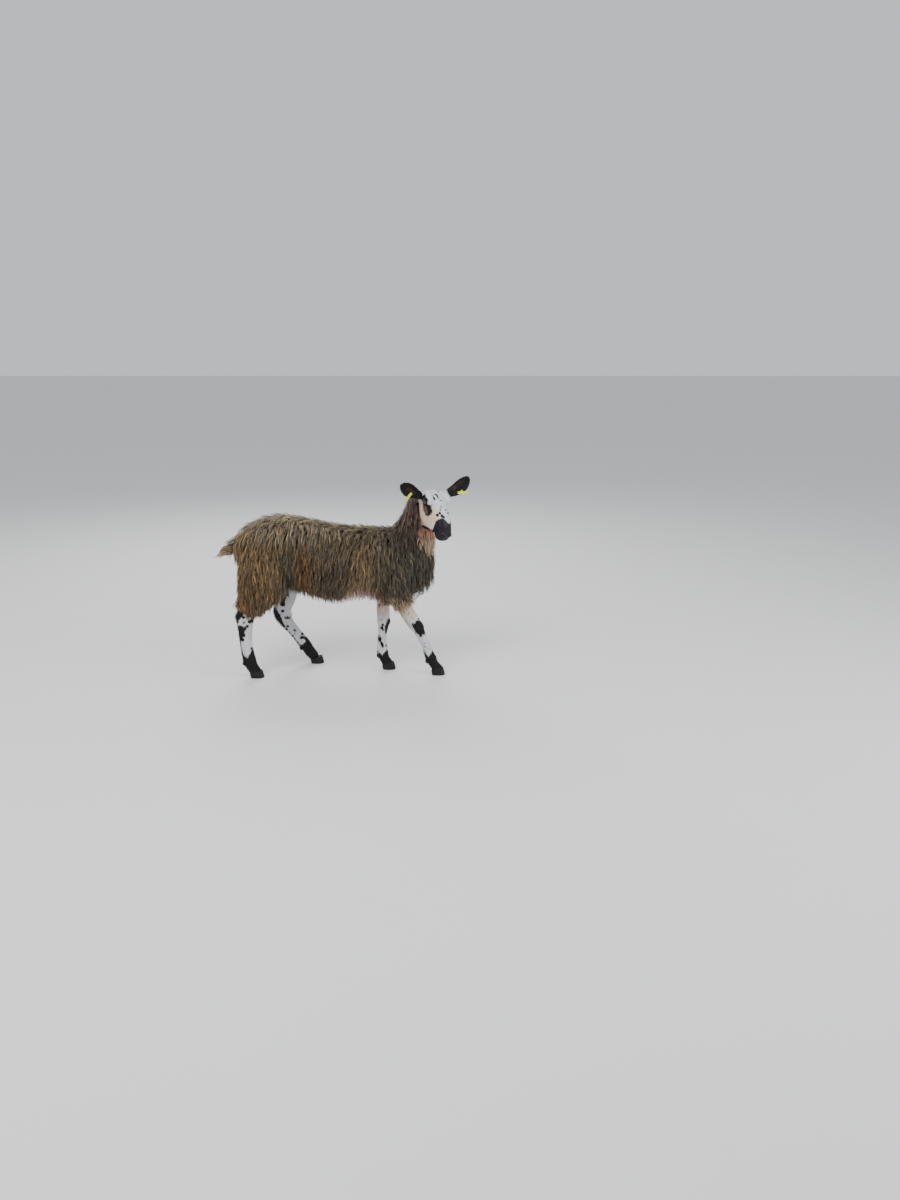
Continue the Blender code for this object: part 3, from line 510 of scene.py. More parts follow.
def hair_colour(finish, settings, place):
    """White hair with its black and tan markings, from the fields that each mesh carries."""
    fine = finish.noise(place, 260.0, 3.0, 0.6)
    broad = finish.noise(place, 45.0, 2.0, 0.5)
    edge = (fine - 0.5) * 0.34 + (broad - 0.5) * 0.26
    white = finish.mix(fine * 0.35, settings.white, [0.72 * c for c in settings.white])
    freckles = finish.step(finish.noise(place, 190.0, 1.0), 0.58, 0.68) * 0.32
    white = finish.mix(freckles, white, FRECKLES)
    warmth = finish.number("tan") * (0.95 + edge)
    cream = finish.mix(finish.step(warmth, 0.0, 0.55), white, settings.cream)
    tan = finish.mix(finish.step(warmth, 0.45, 1.0), cream, settings.tan)
    black = finish.step(finish.number("black") + edge, 0.44, 0.56)
    brown = finish.step(finish.number("brown") + edge * 0.8, 0.42, 0.60)
    black_hair = finish.mix(fine * 0.8, settings.black, BLACK_SHEEN)
    dark = finish.mix(brown * (0.6 + 0.8 * fine), black_hair, BROWN_HAIR)
    return finish.mix(black, tan, dark)


def skin_finish(settings, wool):
    finish = Finish("skin_and_hair", Roughness=0.62, Specular_IOR_Level=0.22)
    place = finish.place("root_place")
    hair = hair_colour(finish, settings, place)
    muzzle = finish.step(finish.number("muzzle") + (finish.noise(place, 150.0) - 0.5) * 0.3, 0.4, 0.6)
    muzzle_colour = finish.mix(finish.noise(place, 90.0), MUZZLE_DARK, MUZZLE_GREY)
    # Painted shade: the muzzle turns near black where a black spot lies on the nostril
    muzzle_colour = finish.mix(finish.step(finish.number("black"), 0.5, 0.65), muzzle_colour, NOSTRIL_SHADE)
    hair = finish.mix(muzzle, hair, muzzle_colour)
    hair = finish.mix(finish.step(finish.number("pink"), 0.3, 0.8), hair, LIP_PINK)
    # Painted shade on the skin wherever wool covers it
    deep_shade = finish.mix(finish.noise(place, 60.0), wool.deep_shade, [2.2 * c for c in wool.deep_shade])
    woolly = finish.step(finish.number("wool"), 0.35, 0.65)
    finish.feed("Base Color", finish.mix(woolly, hair, deep_shade))
    finish.feed("Roughness", 0.72 - muzzle * 0.40)
    strands = finish.noise(finish.stretch(place, (420.0, 420.0, 110.0)), 1.0, 2.0)
    pores = finish.noise(place, 520.0)
    finish.bump(strands * (1 - muzzle) + pores * muzzle, 0.35, 0.0016)
    return finish.material


def hair_finish(settings):
    finish = Finish("short_hair", Roughness=0.6, Specular_IOR_Level=0.2)
    colour = hair_colour(finish, settings, finish.place("root_place"))
    colour = finish.mix(finish.step(finish.number("muzzle"), 0.4, 0.6), colour, MUZZLE_HAIR)
    finish.feed("Base Color", finish.mix(finish.number("tint"), colour, (0.16, 0.14, 0.12), "OVERLAY"))
    return finish.material


def wool_finish(wool):
    finish = Finish("wool", Roughness=0.62, Specular_IOR_Level=0.25)
    share = finish.number("share") + finish.number("pale_root") * 0.26
    sheen_noise = finish.noise(finish.place("root_place"), 420.0, 1.0)
    tip = finish.colour("wool_colour")
    # Painted shade: each strand darkens towards its root, less on the throat and on pale strands
    root = finish.mix(1.0, tip, WOOL_ROOT_SHADE, "MULTIPLY")
    colour = finish.mix(finish.step(share, 0.06, 0.58), root, tip)
    # Painted sheen: pale streaks, more of them towards the tips
    pale = finish.mix(1.0, colour, WOOL_SHEEN, "MULTIPLY")
    finish.feed("Base Color", finish.mix(finish.step(sheen_noise + share * 0.12, 0.55, 0.8), colour, pale))
    return finish.material


def eye_finish(settings):
    finish = Finish("eye", Roughness=0.06, Coat_Weight=1.0, Coat_Roughness=0.02, IOR=1.38)
    across = finish.number("eye_across")
    up = finish.number("eye_up")
    ray = finish.noise(finish.place("eye_place"), 900.0, 3.0)
    radius = (across * across + up * up) ** 0.5
    iris = finish.mix(ray, [0.55 * c for c in settings.iris], [1.5 * c for c in settings.iris])
    iris = finish.mix(finish.step(radius, IRIS_RIM_START, IRIS_RADIUS), iris, IRIS_RIM)
    half = settings.pupil_width / 2
    slot = (across * (1 / half)) ** 4.0 + (up * (1 / PUPIL_HALF_HEIGHT)) ** 4.0
    iris = finish.mix(finish.step(slot, 1.25, 0.8), iris, PUPIL)
    veins = finish.noise(finish.place("eye_place"), 300.0)
    white = finish.mix(veins, EYE_WHITE, EYE_VEINS)
    finish.feed("Base Color", finish.mix(finish.step(radius, IRIS_RADIUS, 0.0106), iris, white))
    return finish.material


def lid_finish():
    finish = Finish("lid", Roughness=0.38)
    place = finish.place("root_place")
    finish.feed("Base Color", finish.mix(finish.noise(place, 300.0), LID_DARK, LID_PALE))
    finish.bump(finish.noise(place, 900.0), 0.3, 0.0006)
    return finish.material


def horn_finish(settings):
    finish = Finish("horn", Roughness=0.5, Specular_IOR_Level=0.28)
    place = finish.place("root_place")
    rings = finish.noise(finish.stretch(place, (14.0, 14.0, 520.0)), 1.0, 2.0)
    dirt = finish.noise(place, 70.0, 3.0)
    colour = finish.mix(rings, settings.colour, [2.4 * c for c in settings.colour])
    finish.feed("Base Color", finish.mix(finish.step(dirt, 0.52, 0.74) * 0.4, colour, HORN_DIRT))
    finish.feed("Roughness", 0.42 + dirt * 0.32)
    finish.bump(rings, 0.5, 0.0012)
    return finish.material


def tag_finish(settings):
    finish = Finish("tag_plastic", Roughness=0.36)
    place = finish.place("root_place")
    wear = finish.noise(place, 140.0, 3.0)
    finish.feed("Base Color", finish.mix(finish.step(wear, 0.5, 0.8) * 0.5, settings.colour, TAG_WEAR))
    finish.feed("Roughness", 0.30 + wear * 0.22)
    return finish.material


# Shapes
def close_rings(builder, rings):
    """Faces between neighbouring rings, and flat caps at both ends."""
    for lower, upper in zip(rings, rings[1:]):
        count = len(lower)
        for k in range(count):
            j = (k + 1) % count
            builder.faces.new((lower[k], lower[j], upper[j], upper[k]))
    builder.faces.new(rings[0][::-1])
    builder.faces.new(rings[-1])


def smooth_rows(rows, spans):
    """The rows with others between them, on Catmull-Rom curves through each column."""
    result = []
    last = len(rows) - 1
    for i in range(last):
        before, start, end, after = (rows[max(0, min(last, i + k))] for k in (-1, 0, 1, 2))
        for step in range(spans):
            t = step / spans
            row = []
            for a, b, c, d in zip(before, start, end, after):
                bent = (2 * a - 5 * b + 4 * c - d) * t * t + (3 * b - a - 3 * c + d) * t ** 3
                row.append(0.5 * (2 * b + (c - a) * t + bent))
            result.append(row)
    result.append(list(rows[last]))
    return result


def tube(builder, rows, around=32, spans=4):
    """A closed tube along rows of (centre x, y, z, half width, depth behind, depth in front)."""
    rows = smooth_rows(rows, spans)
    centres = [Vector(row[:3]) for row in rows]
    rings = []
    for i, (centre, row) in enumerate(zip(centres, rows)):
        along = (centres[min(i + 1, len(rows) - 1)] - centres[max(i - 1, 0)]).normalized()
        side = Vector((0, 1, 0))
        side = (side - along * side.dot(along)).normalized()
        front = along.cross(side)
        width, behind, ahead = row[3:6]
        ring = []
        for k in range(around):
            angle = math.tau * (k + 0.5) / around
            depth = ahead if math.cos(angle) > 0 else behind
            spot = centre + side * width * math.sin(angle) + front * depth * math.cos(angle)
            ring.append(builder.verts.new(spot))
        rings.append(ring)
    close_rings(builder, rings)


def ball(builder):
    """The corners of a new ball of radius 1."""
    return bmesh.ops.create_uvsphere(builder, u_segments=20, v_segments=14, radius=1.0)["verts"]


def swelling(builder, centre, radii, turn=0.0, place=Matrix()):
    """An ellipsoid turned about its vertical, in the axes of place."""
    rotation = Matrix.Rotation(turn, 3, "Z")
    for vertex in ball(builder):
        vertex.co = place @ (rotation @ Vector([r * c for r, c in zip(radii, vertex.co)]) + Vector(centre))


def skull(builder):
    rings = []
    for x, top, bottom, width, square in smooth_rows(HEAD, 3):
        middle, half = (top + bottom) / 2, (top - bottom) / 2
        ring = []
        for k in range(36):
            angle = math.tau * (k + 0.5) / 36
            circle = (math.cos(angle), math.sin(angle))
            up, across = (math.copysign(abs(value) ** (1 - square), value) for value in circle)
            ring.append(builder.verts.new(HEAD_PLACE @ Vector((x, width * across, middle + half * up))))
        rings.append(ring)
    close_rings(builder, rings)


def between(table, x, column=1):
    """The value of a column of the table at x, on straight lines between its rows."""
    x = max(table[0][0], min(table[-1][0], x))
    for low, high in zip(table, table[1:]):
        if x <= high[0]:
            share = (x - low[0]) / (high[0] - low[0])
            return low[column] + (high[column] - low[column]) * share
    return table[-1][column]


def ear_frame(way):
    """Root of an ear and its axes: along it, across it, and out of its cup."""
    root = HEAD_PLACE @ mirrored(EAR_ROOT, way)
    along = (EAR_TIP[way] - root).normalized()
    cup = HEAD_PLACE.to_3x3() @ EAR_FACING
    cup = (cup - along * cup.dot(along)).normalized()
    return root, along, cup.cross(along), cup


def ear_point(way, share, side):
    """A point of the ear's middle surface; side runs from -1 to 1 across it."""
    root, along, across, cup = ear_frame(way)
    bend = between(EAR, share, 2)
    radius = EAR_WIDTH * between(EAR, share, 1) / (2 * bend)
    sag = across * -way * EAR_SAG[way] * 4 * share * (1 - share)
    return (
        root
        + along * (EAR_LENGTH * share - 0.004)
        + sag
        + across * radius * math.sin(bend * side)
        + cup * radius * (1 - math.cos(bend * side))
    )


def ear(builder, way):
    """A cupped sheet, thicker at its root and with a rounded edge."""
    lengths, sides = 26, 12
    front, back = [], []
    for i in range(lengths + 1):
        share = i / lengths
        thick = 0.0058 - 0.0022 * share
        for j in range(sides + 1):
            side = 2 * j / sides - 1
            here = ear_point(way, share, side)
            down = ear_point(way, min(share + 0.01, 1.0), side) - ear_point(way, max(share - 0.01, 0), side)
            over = ear_point(way, share, side + 0.01) - ear_point(way, share, side - 0.01)
            facing = over.cross(down).normalized() * thick / 2 * (0.75 if j in (0, sides) else 1.0)
            front.append(builder.verts.new(here + facing))
            back.append(builder.verts.new(here - facing))
    row = sides + 1
    for i in range(lengths):
        for j in range(sides):
            a, d = i * row + j, (i + 1) * row + j
            b, c = a + 1, d + 1
            builder.faces.new((front[a], front[b], front[c], front[d]))
            builder.faces.new((back[d], back[c], back[b], back[a]))
    border = [i * row for i in range(lengths)] + [lengths * row + j for j in range(sides)]
    border += [i * row + sides for i in range(lengths, 0, -1)] + list(range(sides, 0, -1))
    for a, b in zip(border, border[1:] + border[:1]):
        builder.faces.new((front[a], front[b], back[b], back[a]))


# Knees, hocks and fetlocks that stand out on the legs: centre and radii
LEG_SWELLINGS = (
    ((0.348, -0.072, 0.238), (0.0285, 0.0255, 0.031)),
    ((0.178, 0.045, 0.238), (0.0310, 0.0260, 0.033)),
    ((0.409, -0.062, 0.082), (0.0255, 0.0240, 0.021)),
    ((0.170, 0.024, 0.084), (0.0275, 0.0245, 0.022)),
    ((-0.497, -0.110, 0.302), (0.0130, 0.0130, 0.030)),
    ((-0.462, -0.111, 0.272), (0.0360, 0.0260, 0.026)),
    ((-0.452, -0.107, 0.086), (0.0300, 0.0250, 0.022)),
    ((-0.356, 0.097, 0.272), (0.0130, 0.0130, 0.030)),
    ((-0.318, 0.098, 0.252), (0.0400, 0.0260, 0.027)),
    ((-0.220, 0.111, 0.097), (0.0285, 0.0250, 0.022)),
)


# Shapes on each side of the head, in its own axes with the left side's y: centre, radii and turn
HEAD_SWELLINGS = (
    # Brow, jaw, bridge of the nose and nostril
    ((0.002, 0.0470, 0.032), (0.034, 0.022, 0.017), 0.2),
    ((0.014, 0.028, -0.044), (0.040, 0.018, 0.032), 0.0),
    ((0.170, 0.0175, -0.002), (0.018, 0.013, 0.014), 0.0),
    ((0.164, 0.017, -0.024), (0.023, 0.016, 0.012), 0.0),
    # Base of the ear, eyeball and cheekbone
    ((EAR_ROOT.x, EAR_ROOT.y * 0.86, EAR_ROOT.z), (0.019, 0.016, 0.018), 0.0),
    ((EYE_PLACE.x, EYE_PLACE.y - 0.003, EYE_PLACE.z), (0.019, 0.0155, 0.016), 0.0),
    ((0.050, 0.041, -0.012), (0.040, 0.012, 0.012), -0.16),
)


def body_shapes(builder):
    """Every closed shape that the skin is drawn over."""
    trunk = []
    for x, top, bottom, width in TRUNK:
        half = (top - bottom) / 2
        trunk.append((x, 0.0, (top + bottom) / 2, width, half, half))
    for rows in (trunk, NECK, TAIL, THIGH_RIGHT, THIGH_LEFT, SLEEVE_RIGHT, SLEEVE_LEFT):
        tube(builder, rows, 40)
    for rows in (FORELEG_RIGHT, FORELEG_LEFT, HINDLEG_RIGHT, HINDLEG_LEFT):
        tube(builder, rows)
    for centre, radii in LEG_SWELLINGS:
        swelling(builder, centre, radii)
    skull(builder)
    for way in (-1, 1):
        for (x, y, z), radii, turn in HEAD_SWELLINGS:
            swelling(builder, (x, way * y, z), radii, way * turn, HEAD_PLACE)
        ear(builder, way)
        root, along, _, _ = ear_frame(way)
        swelling(builder, root + along * 0.026 - Vector((0, 0, 0.008)), (0.016, 0.015, 0.014))
    swelling(builder, (0.155, 0, -0.044), (0.022, 0.018, 0.011), 0.0, HEAD_PLACE)


def swept_ring(builder, spots, away, radii, around=10):
    """A closed ring of round section along the spots; away points from the middle at each spot."""
    rings = []
    count = len(spots)
    for k, spot in enumerate(spots):
        along = (spots[(k + 1) % count] - spots[k - 1]).normalized()
        first = (away[k] - along * away[k].dot(along)).normalized()
        second = along.cross(first)
        turns = [math.tau * j / around for j in range(around)]
        rings.append(
            [builder.verts.new(spot + (first * math.cos(t) + second * math.sin(t)) * radii[k]) for t in turns]
        )
    for k, ring in enumerate(rings):
        following = rings[(k + 1) % count]
        for j in range(around):
            builder.faces.new((ring[j], following[j], following[(j + 1) % around], ring[(j + 1) % around]))


def mesh_of(name, builder):
    bmesh.ops.recalc_face_normals(builder, faces=builder.faces)
    mesh = bpy.data.meshes.new(name)
    builder.to_mesh(mesh)
    builder.free()
    return mesh


def corners_of(mesh):
    places = np.empty(len(mesh.vertices) * 3, np.float32)
    mesh.vertices.foreach_get("co", places)
    return places.reshape(-1, 3).astype(float)


def add_attribute(mesh, name, values, kind="FLOAT"):
    """A value for each vertex: a number, a place or a colour."""
    field = {"FLOAT": "value", "FLOAT_VECTOR": "vector", "FLOAT_COLOR": "color"}[kind]
    attribute = mesh.attributes.new(name, kind, "POINT")
    attribute.data.foreach_set(field, np.ascontiguousarray(values, np.float32).ravel())


def placed_mesh(name, builder):
    """The builder's mesh, which keeps each vertex's place for its finish."""
    mesh = mesh_of(name, builder)
    add_attribute(mesh, "root_place", corners_of(mesh), "FLOAT_VECTOR")
    return mesh


def place_piece(mesh, name, material, replaced=(), smooth=True):
    """Turns a mesh in the tables' axes into a piece of the ewe."""
    mesh.transform(Matrix.Translation(SHIFT))
    mesh.materials.clear()
    mesh.materials.append(material)
    mesh.polygons.foreach_set("use_smooth", [smooth] * len(mesh.polygons))
    piece = bpy.data.objects.new(name, mesh)
    bpy.context.scene.collection.objects.link(piece)
    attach(piece, "root")
    if replaced:
        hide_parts(*replaced)
    return piece


def with_modifier(mesh, kind, settings, weights=None):
    """The mesh as it is after one modifier, which the weights of its vertices limit."""
    helper = bpy.data.objects.new("helper", mesh)
    bpy.context.scene.collection.objects.link(helper)
    modifier = helper.modifiers.new(kind.lower(), kind)
    for name, value in settings.items():
        setattr(modifier, name, value)
    if weights is not None:
        helper.vertex_groups.clear()
        group = helper.vertex_groups.new(name="weights")
        for level in np.unique(weights):
            group.add([int(i) for i in np.flatnonzero(weights == level)], float(level), "REPLACE")
        modifier.vertex_group = group.name
    result = bpy.data.meshes.new_from_object(helper.evaluated_get(bpy.context.evaluated_depsgraph_get()))
    bpy.data.objects.remove(helper, do_unlink=True)
    bpy.data.meshes.remove(mesh)
    return result


# Fields over the body, for arrays of places in the tables' axes
def ease(values, low, high):
    """A smooth step from 0 at low to 1 at high."""
    share = np.clip((values - low) / (high - low), 0, 1)
    return share * share * (3 - 2 * share)


def to_head(places):
    """The places in the head's own axes."""
    inverse = np.array(HEAD_PLACE.inverted())
    return places @ inverse[:3, :3].T + inverse[:3, 3]


def near_head(places, reach=HEAD_REACH):
    """Which places are within reach of the middle of the head."""
    return np.linalg.norm(places - np.array(HEAD_CENTRE), axis=1) < reach


def from_segment(places, start, end):
    """Distances from a line between two points, and how far along it each nearest point is."""
    start, end = np.array(start), np.array(end)
    run = end - start
    share = np.clip((places - start) @ run / (run @ run), 0, 1)
    return np.linalg.norm(places - start - share[:, None] * run, axis=1), share


def ear_share(places):
    """How far up its ear each place is, or less than 0 off the ears."""
    result = np.full(len(places), -1.0)
    for way in (-1, 1):
        root, along, _, _ = ear_frame(way)
        distance, share = from_segment(places, root, EAR_TIP[way])
        beyond = (places - np.array(root)) @ np.array(along) > 0.006
        near = (distance < 0.044) & beyond
        result[near] = share[near]
    return result


def wool_field(places):
    """1 where long wool grows, 0 on the short hair of head, throat and legs."""
    x, y, z = places.T
    rows = np.array(HEM)
    hem = np.where(y < 0, np.interp(x, rows[:, 0], rows[:, 1]), np.interp(x, rows[:, 0], rows[:, 2]))
    wool = ease(z - hem, 0.000, 0.050)
    poll, nose = (HEAD_PLACE @ Vector((x, 0, -0.015)) for x in (-0.005, 0.19))
    head = to_head(places)
    bare = ease(head[:, 2] + 0.85 * np.maximum(head[:, 0], -0.014), -0.068, -0.056)
    bare *= ease(head[:, 0], -0.072, -0.058) * (1 - ease(from_segment(places, poll, nose)[0], 0.098, 0.110))
    wool *= 1 - bare
    wool *= ear_share(places) < 0
    return wool


# How far forward the dark wool of the neck reaches at each height
THROAT = (
    (0.500, 0.460),
    (0.580, 0.430),
    (0.612, 0.388),
    (0.645, 0.372),
    (0.675, 0.358),
    (0.706, 0.344),
    (0.722, 0.352),
    (0.800, 0.372),
)


def throat_field(places):
    """1 on the pale strip down the front of the throat."""
    x, _, z = places.T
    rows = np.array(THROAT)
    strip = ease(x - np.interp(z, rows[:, 0], rows[:, 1]), -0.005, 0.005)
    return strip * ease(-z, -0.79, -0.77) * ease(-to_head(places)[:, 2], 0.104, 0.116)


def spots_field(places, spots):
    """0.5 on the edge of the nearest spot and 1 at its middle; a spot is a centre and three radii."""
    result = np.zeros(len(places))
    for *centre, rx, ry, rz in spots:
        distance = np.linalg.norm((places - np.array(centre)) / (rx, ry, rz), axis=1)
        result = np.maximum(result, 1 - 0.5 * distance)
    return result


# Black spots of the face, with spots of painted shade along the right jaw's lower edge and in the right
# nostril, in the head's own axes: centre and radii
FACE_SPOTS = (
    (-0.004, -0.056, 0.014, 0.021, 0.030, 0.025),
    (0.010, -0.058, 0.024, 0.018, 0.030, 0.018),
    (0.016, -0.054, 0.000, 0.018, 0.030, 0.019),
    (0.036, -0.050, -0.003, 0.021, 0.030, 0.026),
    (0.052, -0.047, -0.004, 0.018, 0.030, 0.027),
    (0.000, 0.056, 0.016, 0.022, 0.030, 0.022),
    (0.026, 0.052, 0.004, 0.024, 0.030, 0.018),
    (0.0882, -0.0337, 0.0298, 0.0078, 0.0085, 0.0085),
    (0.0839, -0.0252, 0.0403, 0.0066, 0.0066, 0.009),
    (0.0980, -0.0200, 0.0418, 0.0074, 0.0070, 0.010),
    (0.1040, -0.0150, 0.0418, 0.0066, 0.0058, 0.009),
    (0.1075, -0.0105, 0.0415, 0.0050, 0.0052, 0.009),
    (0.0050, -0.0300, 0.0426, 0.0070, 0.0055, 0.010),
    (0.0110, -0.0275, 0.0435, 0.0080, 0.0055, 0.010),
    (-0.0080, -0.0110, 0.0441, 0.0060, 0.0060, 0.010),
    (-0.0010, -0.0060, 0.0460, 0.0050, 0.0050, 0.010),
    (0.0090, -0.0080, 0.0475, 0.0055, 0.0050, 0.010),
    (0.0265, 0.0010, 0.0490, 0.0045, 0.0040, 0.010),
    (0.0573, -0.0112, 0.0489, 0.0042, 0.0040, 0.010),
    (0.0697, -0.0197, 0.0455, 0.0042, 0.0040, 0.010),
    (0.0740, 0.0080, 0.0470, 0.0050, 0.0050, 0.010),
    (0.0880, 0.0180, 0.0400, 0.0060, 0.0070, 0.009),
    (0.0780, 0.0360, 0.0200, 0.0080, 0.0100, 0.008),
    (0.1000, 0.0300, 0.0280, 0.0070, 0.0080, 0.007),
    (0.0500, 0.0480, -0.0300, 0.0090, 0.0100, 0.008),
    (0.0200, 0.0460, -0.0700, 0.0070, 0.0100, 0.009),
    (-0.0300, 0.0220, 0.0350, 0.0080, 0.0070, 0.012),
    (0.0689, -0.0147, -0.1138, 0.0060, 0.0070, 0.0050),
    (0.0722, -0.0079, -0.1148, 0.0060, 0.0080, 0.0050),
    (0.0756, -0.0004, -0.1170, 0.0060, 0.0085, 0.0055),
    (0.0782, 0.0077, -0.1196, 0.0060, 0.0085, 0.0055),
    (0.0798, 0.0167, -0.1228, 0.0060, 0.0095, 0.0060),
    (0.0814, 0.0276, -0.1290, 0.0060, 0.0110, 0.0065),
    (0.0805, 0.0420, -0.1390, 0.0060, 0.0110, 0.0065),
    # A painted shadow line along the lower edge of the right jaw, above the throat
    (0.1246, -0.0317, -0.0445, 0.0070, 0.0080, 0.0045),
    (0.1330, -0.0350, -0.0385, 0.0080, 0.0080, 0.0050),
    # Painted shade in the right nostril
    (0.1830, -0.0210, 0.0030, 0.0060, 0.0060, 0.0085),
)
# Brown heart of the patch round each eye
EYE_PATCH_CORE = (
    (0.026, -0.053, -0.008, 0.010, 0.030, 0.009),
    (0.038, -0.051, -0.014, 0.014, 0.030, 0.013),
    (0.048, -0.050, -0.014, 0.011, 0.030, 0.012),
    (0.030, 0.052, 0.000, 0.012, 0.030, 0.008),
)
# Tan shades, in the head's own axes: centre, radii and strength
TAN_SPOTS = (
    ((0.050, -0.050, -0.030), (0.100, 0.048, 0.080), 0.60),
    ((0.085, -0.040, 0.010), (0.065, 0.032, 0.044), 0.50),
    ((0.060, -0.020, -0.090), (0.065, 0.040, 0.040), 0.56),
    ((0.020, 0.050, -0.040), (0.060, 0.030, 0.050), 0.36),
    ((0.090, -0.006, -0.142), (0.060, 0.080, 0.034), 0.84),
)
# Black patches of the legs: centre and radius
LEG_PATCHES = (
    # Right foreleg
    (0.329, -0.098, 0.258, 0.0100),
    (0.337, -0.097, 0.249, 0.0138),
    (0.347, -0.094, 0.267, 0.0111),
    (0.361, -0.082, 0.263, 0.0120),
    (0.353, -0.096, 0.246, 0.0207),
    (0.366, -0.091, 0.239, 0.0183),
    (0.358, -0.092, 0.220, 0.0165),
    (0.361, -0.089, 0.201, 0.0073),
    (0.376, -0.080, 0.219, 0.0129),
    (0.347, -0.096, 0.231, 0.0147),
    (0.351, -0.081, 0.283, 0.0034),
    (0.306, -0.102, 0.317, 0.0031),
    (0.297, -0.103, 0.334, 0.0028),
    (0.379, -0.084, 0.162, 0.0031),
    (0.381, -0.082, 0.145, 0.0034),
    (0.398, -0.081, 0.134, 0.0031),
    (0.325, -0.099, 0.293, 0.0023),
    (0.291, -0.104, 0.353, 0.0028),
    # Left foreleg
    (0.203, 0.036, 0.244, 0.0090),
    (0.200, 0.033, 0.231, 0.0125),
    (0.195, 0.035, 0.217, 0.0138),
    (0.194, 0.034, 0.203, 0.0138),
    (0.192, 0.037, 0.189, 0.0116),
    (0.190, 0.029, 0.183, 0.0054),
    (0.167, 0.023, 0.250, 0.0034),
    (0.173, 0.019, 0.224, 0.0073),
    (0.169, 0.019, 0.208, 0.0082),
    (0.175, 0.018, 0.199, 0.0056),
    (0.156, 0.020, 0.163, 0.0084),
    (0.158, 0.017, 0.154, 0.0100),
    (0.159, 0.014, 0.146, 0.0073),
    (0.168, 0.011, 0.135, 0.0069),
    (0.171, 0.009, 0.125, 0.0080),
    (0.172, 0.008, 0.117, 0.0058),
    (0.157, 0.037, 0.317, 0.0060),
    (0.190, 0.023, 0.119, 0.0060),
    (0.172, 0.004, 0.100, 0.0031),
    # Right hind leg
    (-0.482, -0.132, 0.320, 0.0195),
    (-0.493, -0.128, 0.303, 0.0154),
    (-0.497, -0.125, 0.282, 0.0085),
    (-0.494, -0.124, 0.257, 0.0085),
    (-0.480, -0.131, 0.246, 0.0195),
    (-0.465, -0.134, 0.251, 0.0117),
    (-0.450, -0.134, 0.261, 0.0089),
    (-0.482, -0.129, 0.222, 0.0181),
    (-0.469, -0.132, 0.217, 0.0089),
    (-0.485, -0.125, 0.198, 0.0125),
    (-0.475, -0.129, 0.194, 0.0085),
    (-0.493, -0.118, 0.212, 0.0085),
    (-0.486, -0.117, 0.136, 0.0085),
    (-0.485, -0.116, 0.119, 0.0085),
    (-0.463, -0.137, 0.305, 0.0077),
    (-0.462, -0.137, 0.281, 0.0065),
    (-0.436, -0.131, 0.285, 0.0105),
    (-0.425, -0.122, 0.288, 0.0117),
    (-0.422, -0.115, 0.290, 0.0072),
    (-0.438, -0.119, 0.149, 0.0065),
    (-0.434, -0.117, 0.132, 0.0089),
    (-0.433, -0.118, 0.116, 0.0089),
    (-0.452, -0.136, 0.325, 0.0059),
    # Left hind leg
    (-0.318, 0.073, 0.317, 0.0147),
    (-0.314, 0.075, 0.332, 0.0125),
    (-0.304, 0.074, 0.346, 0.0081),
    (-0.294, 0.073, 0.362, 0.0090),
    (-0.318, 0.071, 0.280, 0.0081),
    (-0.357, 0.084, 0.285, 0.0131),
    (-0.355, 0.080, 0.269, 0.0165),
    (-0.347, 0.076, 0.253, 0.0182),
    (-0.337, 0.076, 0.236, 0.0149),
    (-0.328, 0.079, 0.218, 0.0118),
    (-0.320, 0.083, 0.200, 0.0106),
    (-0.307, 0.087, 0.181, 0.0091),
    (-0.299, 0.080, 0.199, 0.0074),
    (-0.294, 0.091, 0.164, 0.0077),
    (-0.281, 0.095, 0.145, 0.0091),
    (-0.272, 0.099, 0.129, 0.0091),
    (-0.261, 0.100, 0.111, 0.0106),
    (-0.307, 0.074, 0.245, 0.0062),
    (-0.299, 0.077, 0.244, 0.0081),
    (-0.291, 0.081, 0.243, 0.0062),
    (-0.266, 0.085, 0.178, 0.0062),
    (-0.267, 0.085, 0.159, 0.0033),
    (-0.231, 0.100, 0.155, 0.0069),
    (-0.236, 0.089, 0.137, 0.0086),
    (-0.224, 0.094, 0.137, 0.0074),
    (-0.213, 0.100, 0.130, 0.0081),
    (-0.207, 0.099, 0.120, 0.0081),
)
# Patches of the sides that the others hide: centre, half width and half height
HIDDEN_PATCHES = (
    (0.334, -0.040, 0.225, 0.0130, 0.0260),
    (0.372, -0.040, 0.160, 0.0070, 0.0110),
    (0.300, -0.035, 0.320, 0.0090, 0.0120),
    (0.185, 0.072, 0.240, 0.0140, 0.0320),
    (0.172, 0.066, 0.165, 0.0070, 0.0140),
    (0.190, 0.075, 0.320, 0.0090, 0.0100),
    (-0.470, -0.080, 0.240, 0.0180, 0.0180),
    (-0.462, -0.080, 0.170, 0.0080, 0.0120),
    (-0.330, 0.122, 0.255, 0.0160, 0.0300),
    (-0.270, 0.120, 0.165, 0.0090, 0.0150),
)
# The same as centres and three radii, with two tall patches of the right hind leg
LEG_SPOTS = [(x, y, z, radius, 0.026, radius) for x, y, z, radius in LEG_PATCHES]
LEG_SPOTS += [(x, y, z, wide, 0.020, high) for x, y, z, wide, high in HIDDEN_PATCHES]
LEG_SPOTS += [(-0.489, -0.119, 0.174, 0.0060, 0.026, 0.0140), (-0.489, -0.116, 0.152, 0.0070, 0.026, 0.0140)]
# Top of each leg's black sock: lowest x, highest x, its middle, and the heights behind, there and in front
SOCKS = (
    (0.27, 0.60, 0.396, 0.128, 0.096, 0.124),
    (0.02, 0.27, 0.171, 0.096, 0.080, 0.100),
    (-0.70, -0.25, -0.457, 0.118, 0.106, 0.142),
    (-0.45, -0.05, -0.232, 0.106, 0.102, 0.124),
)


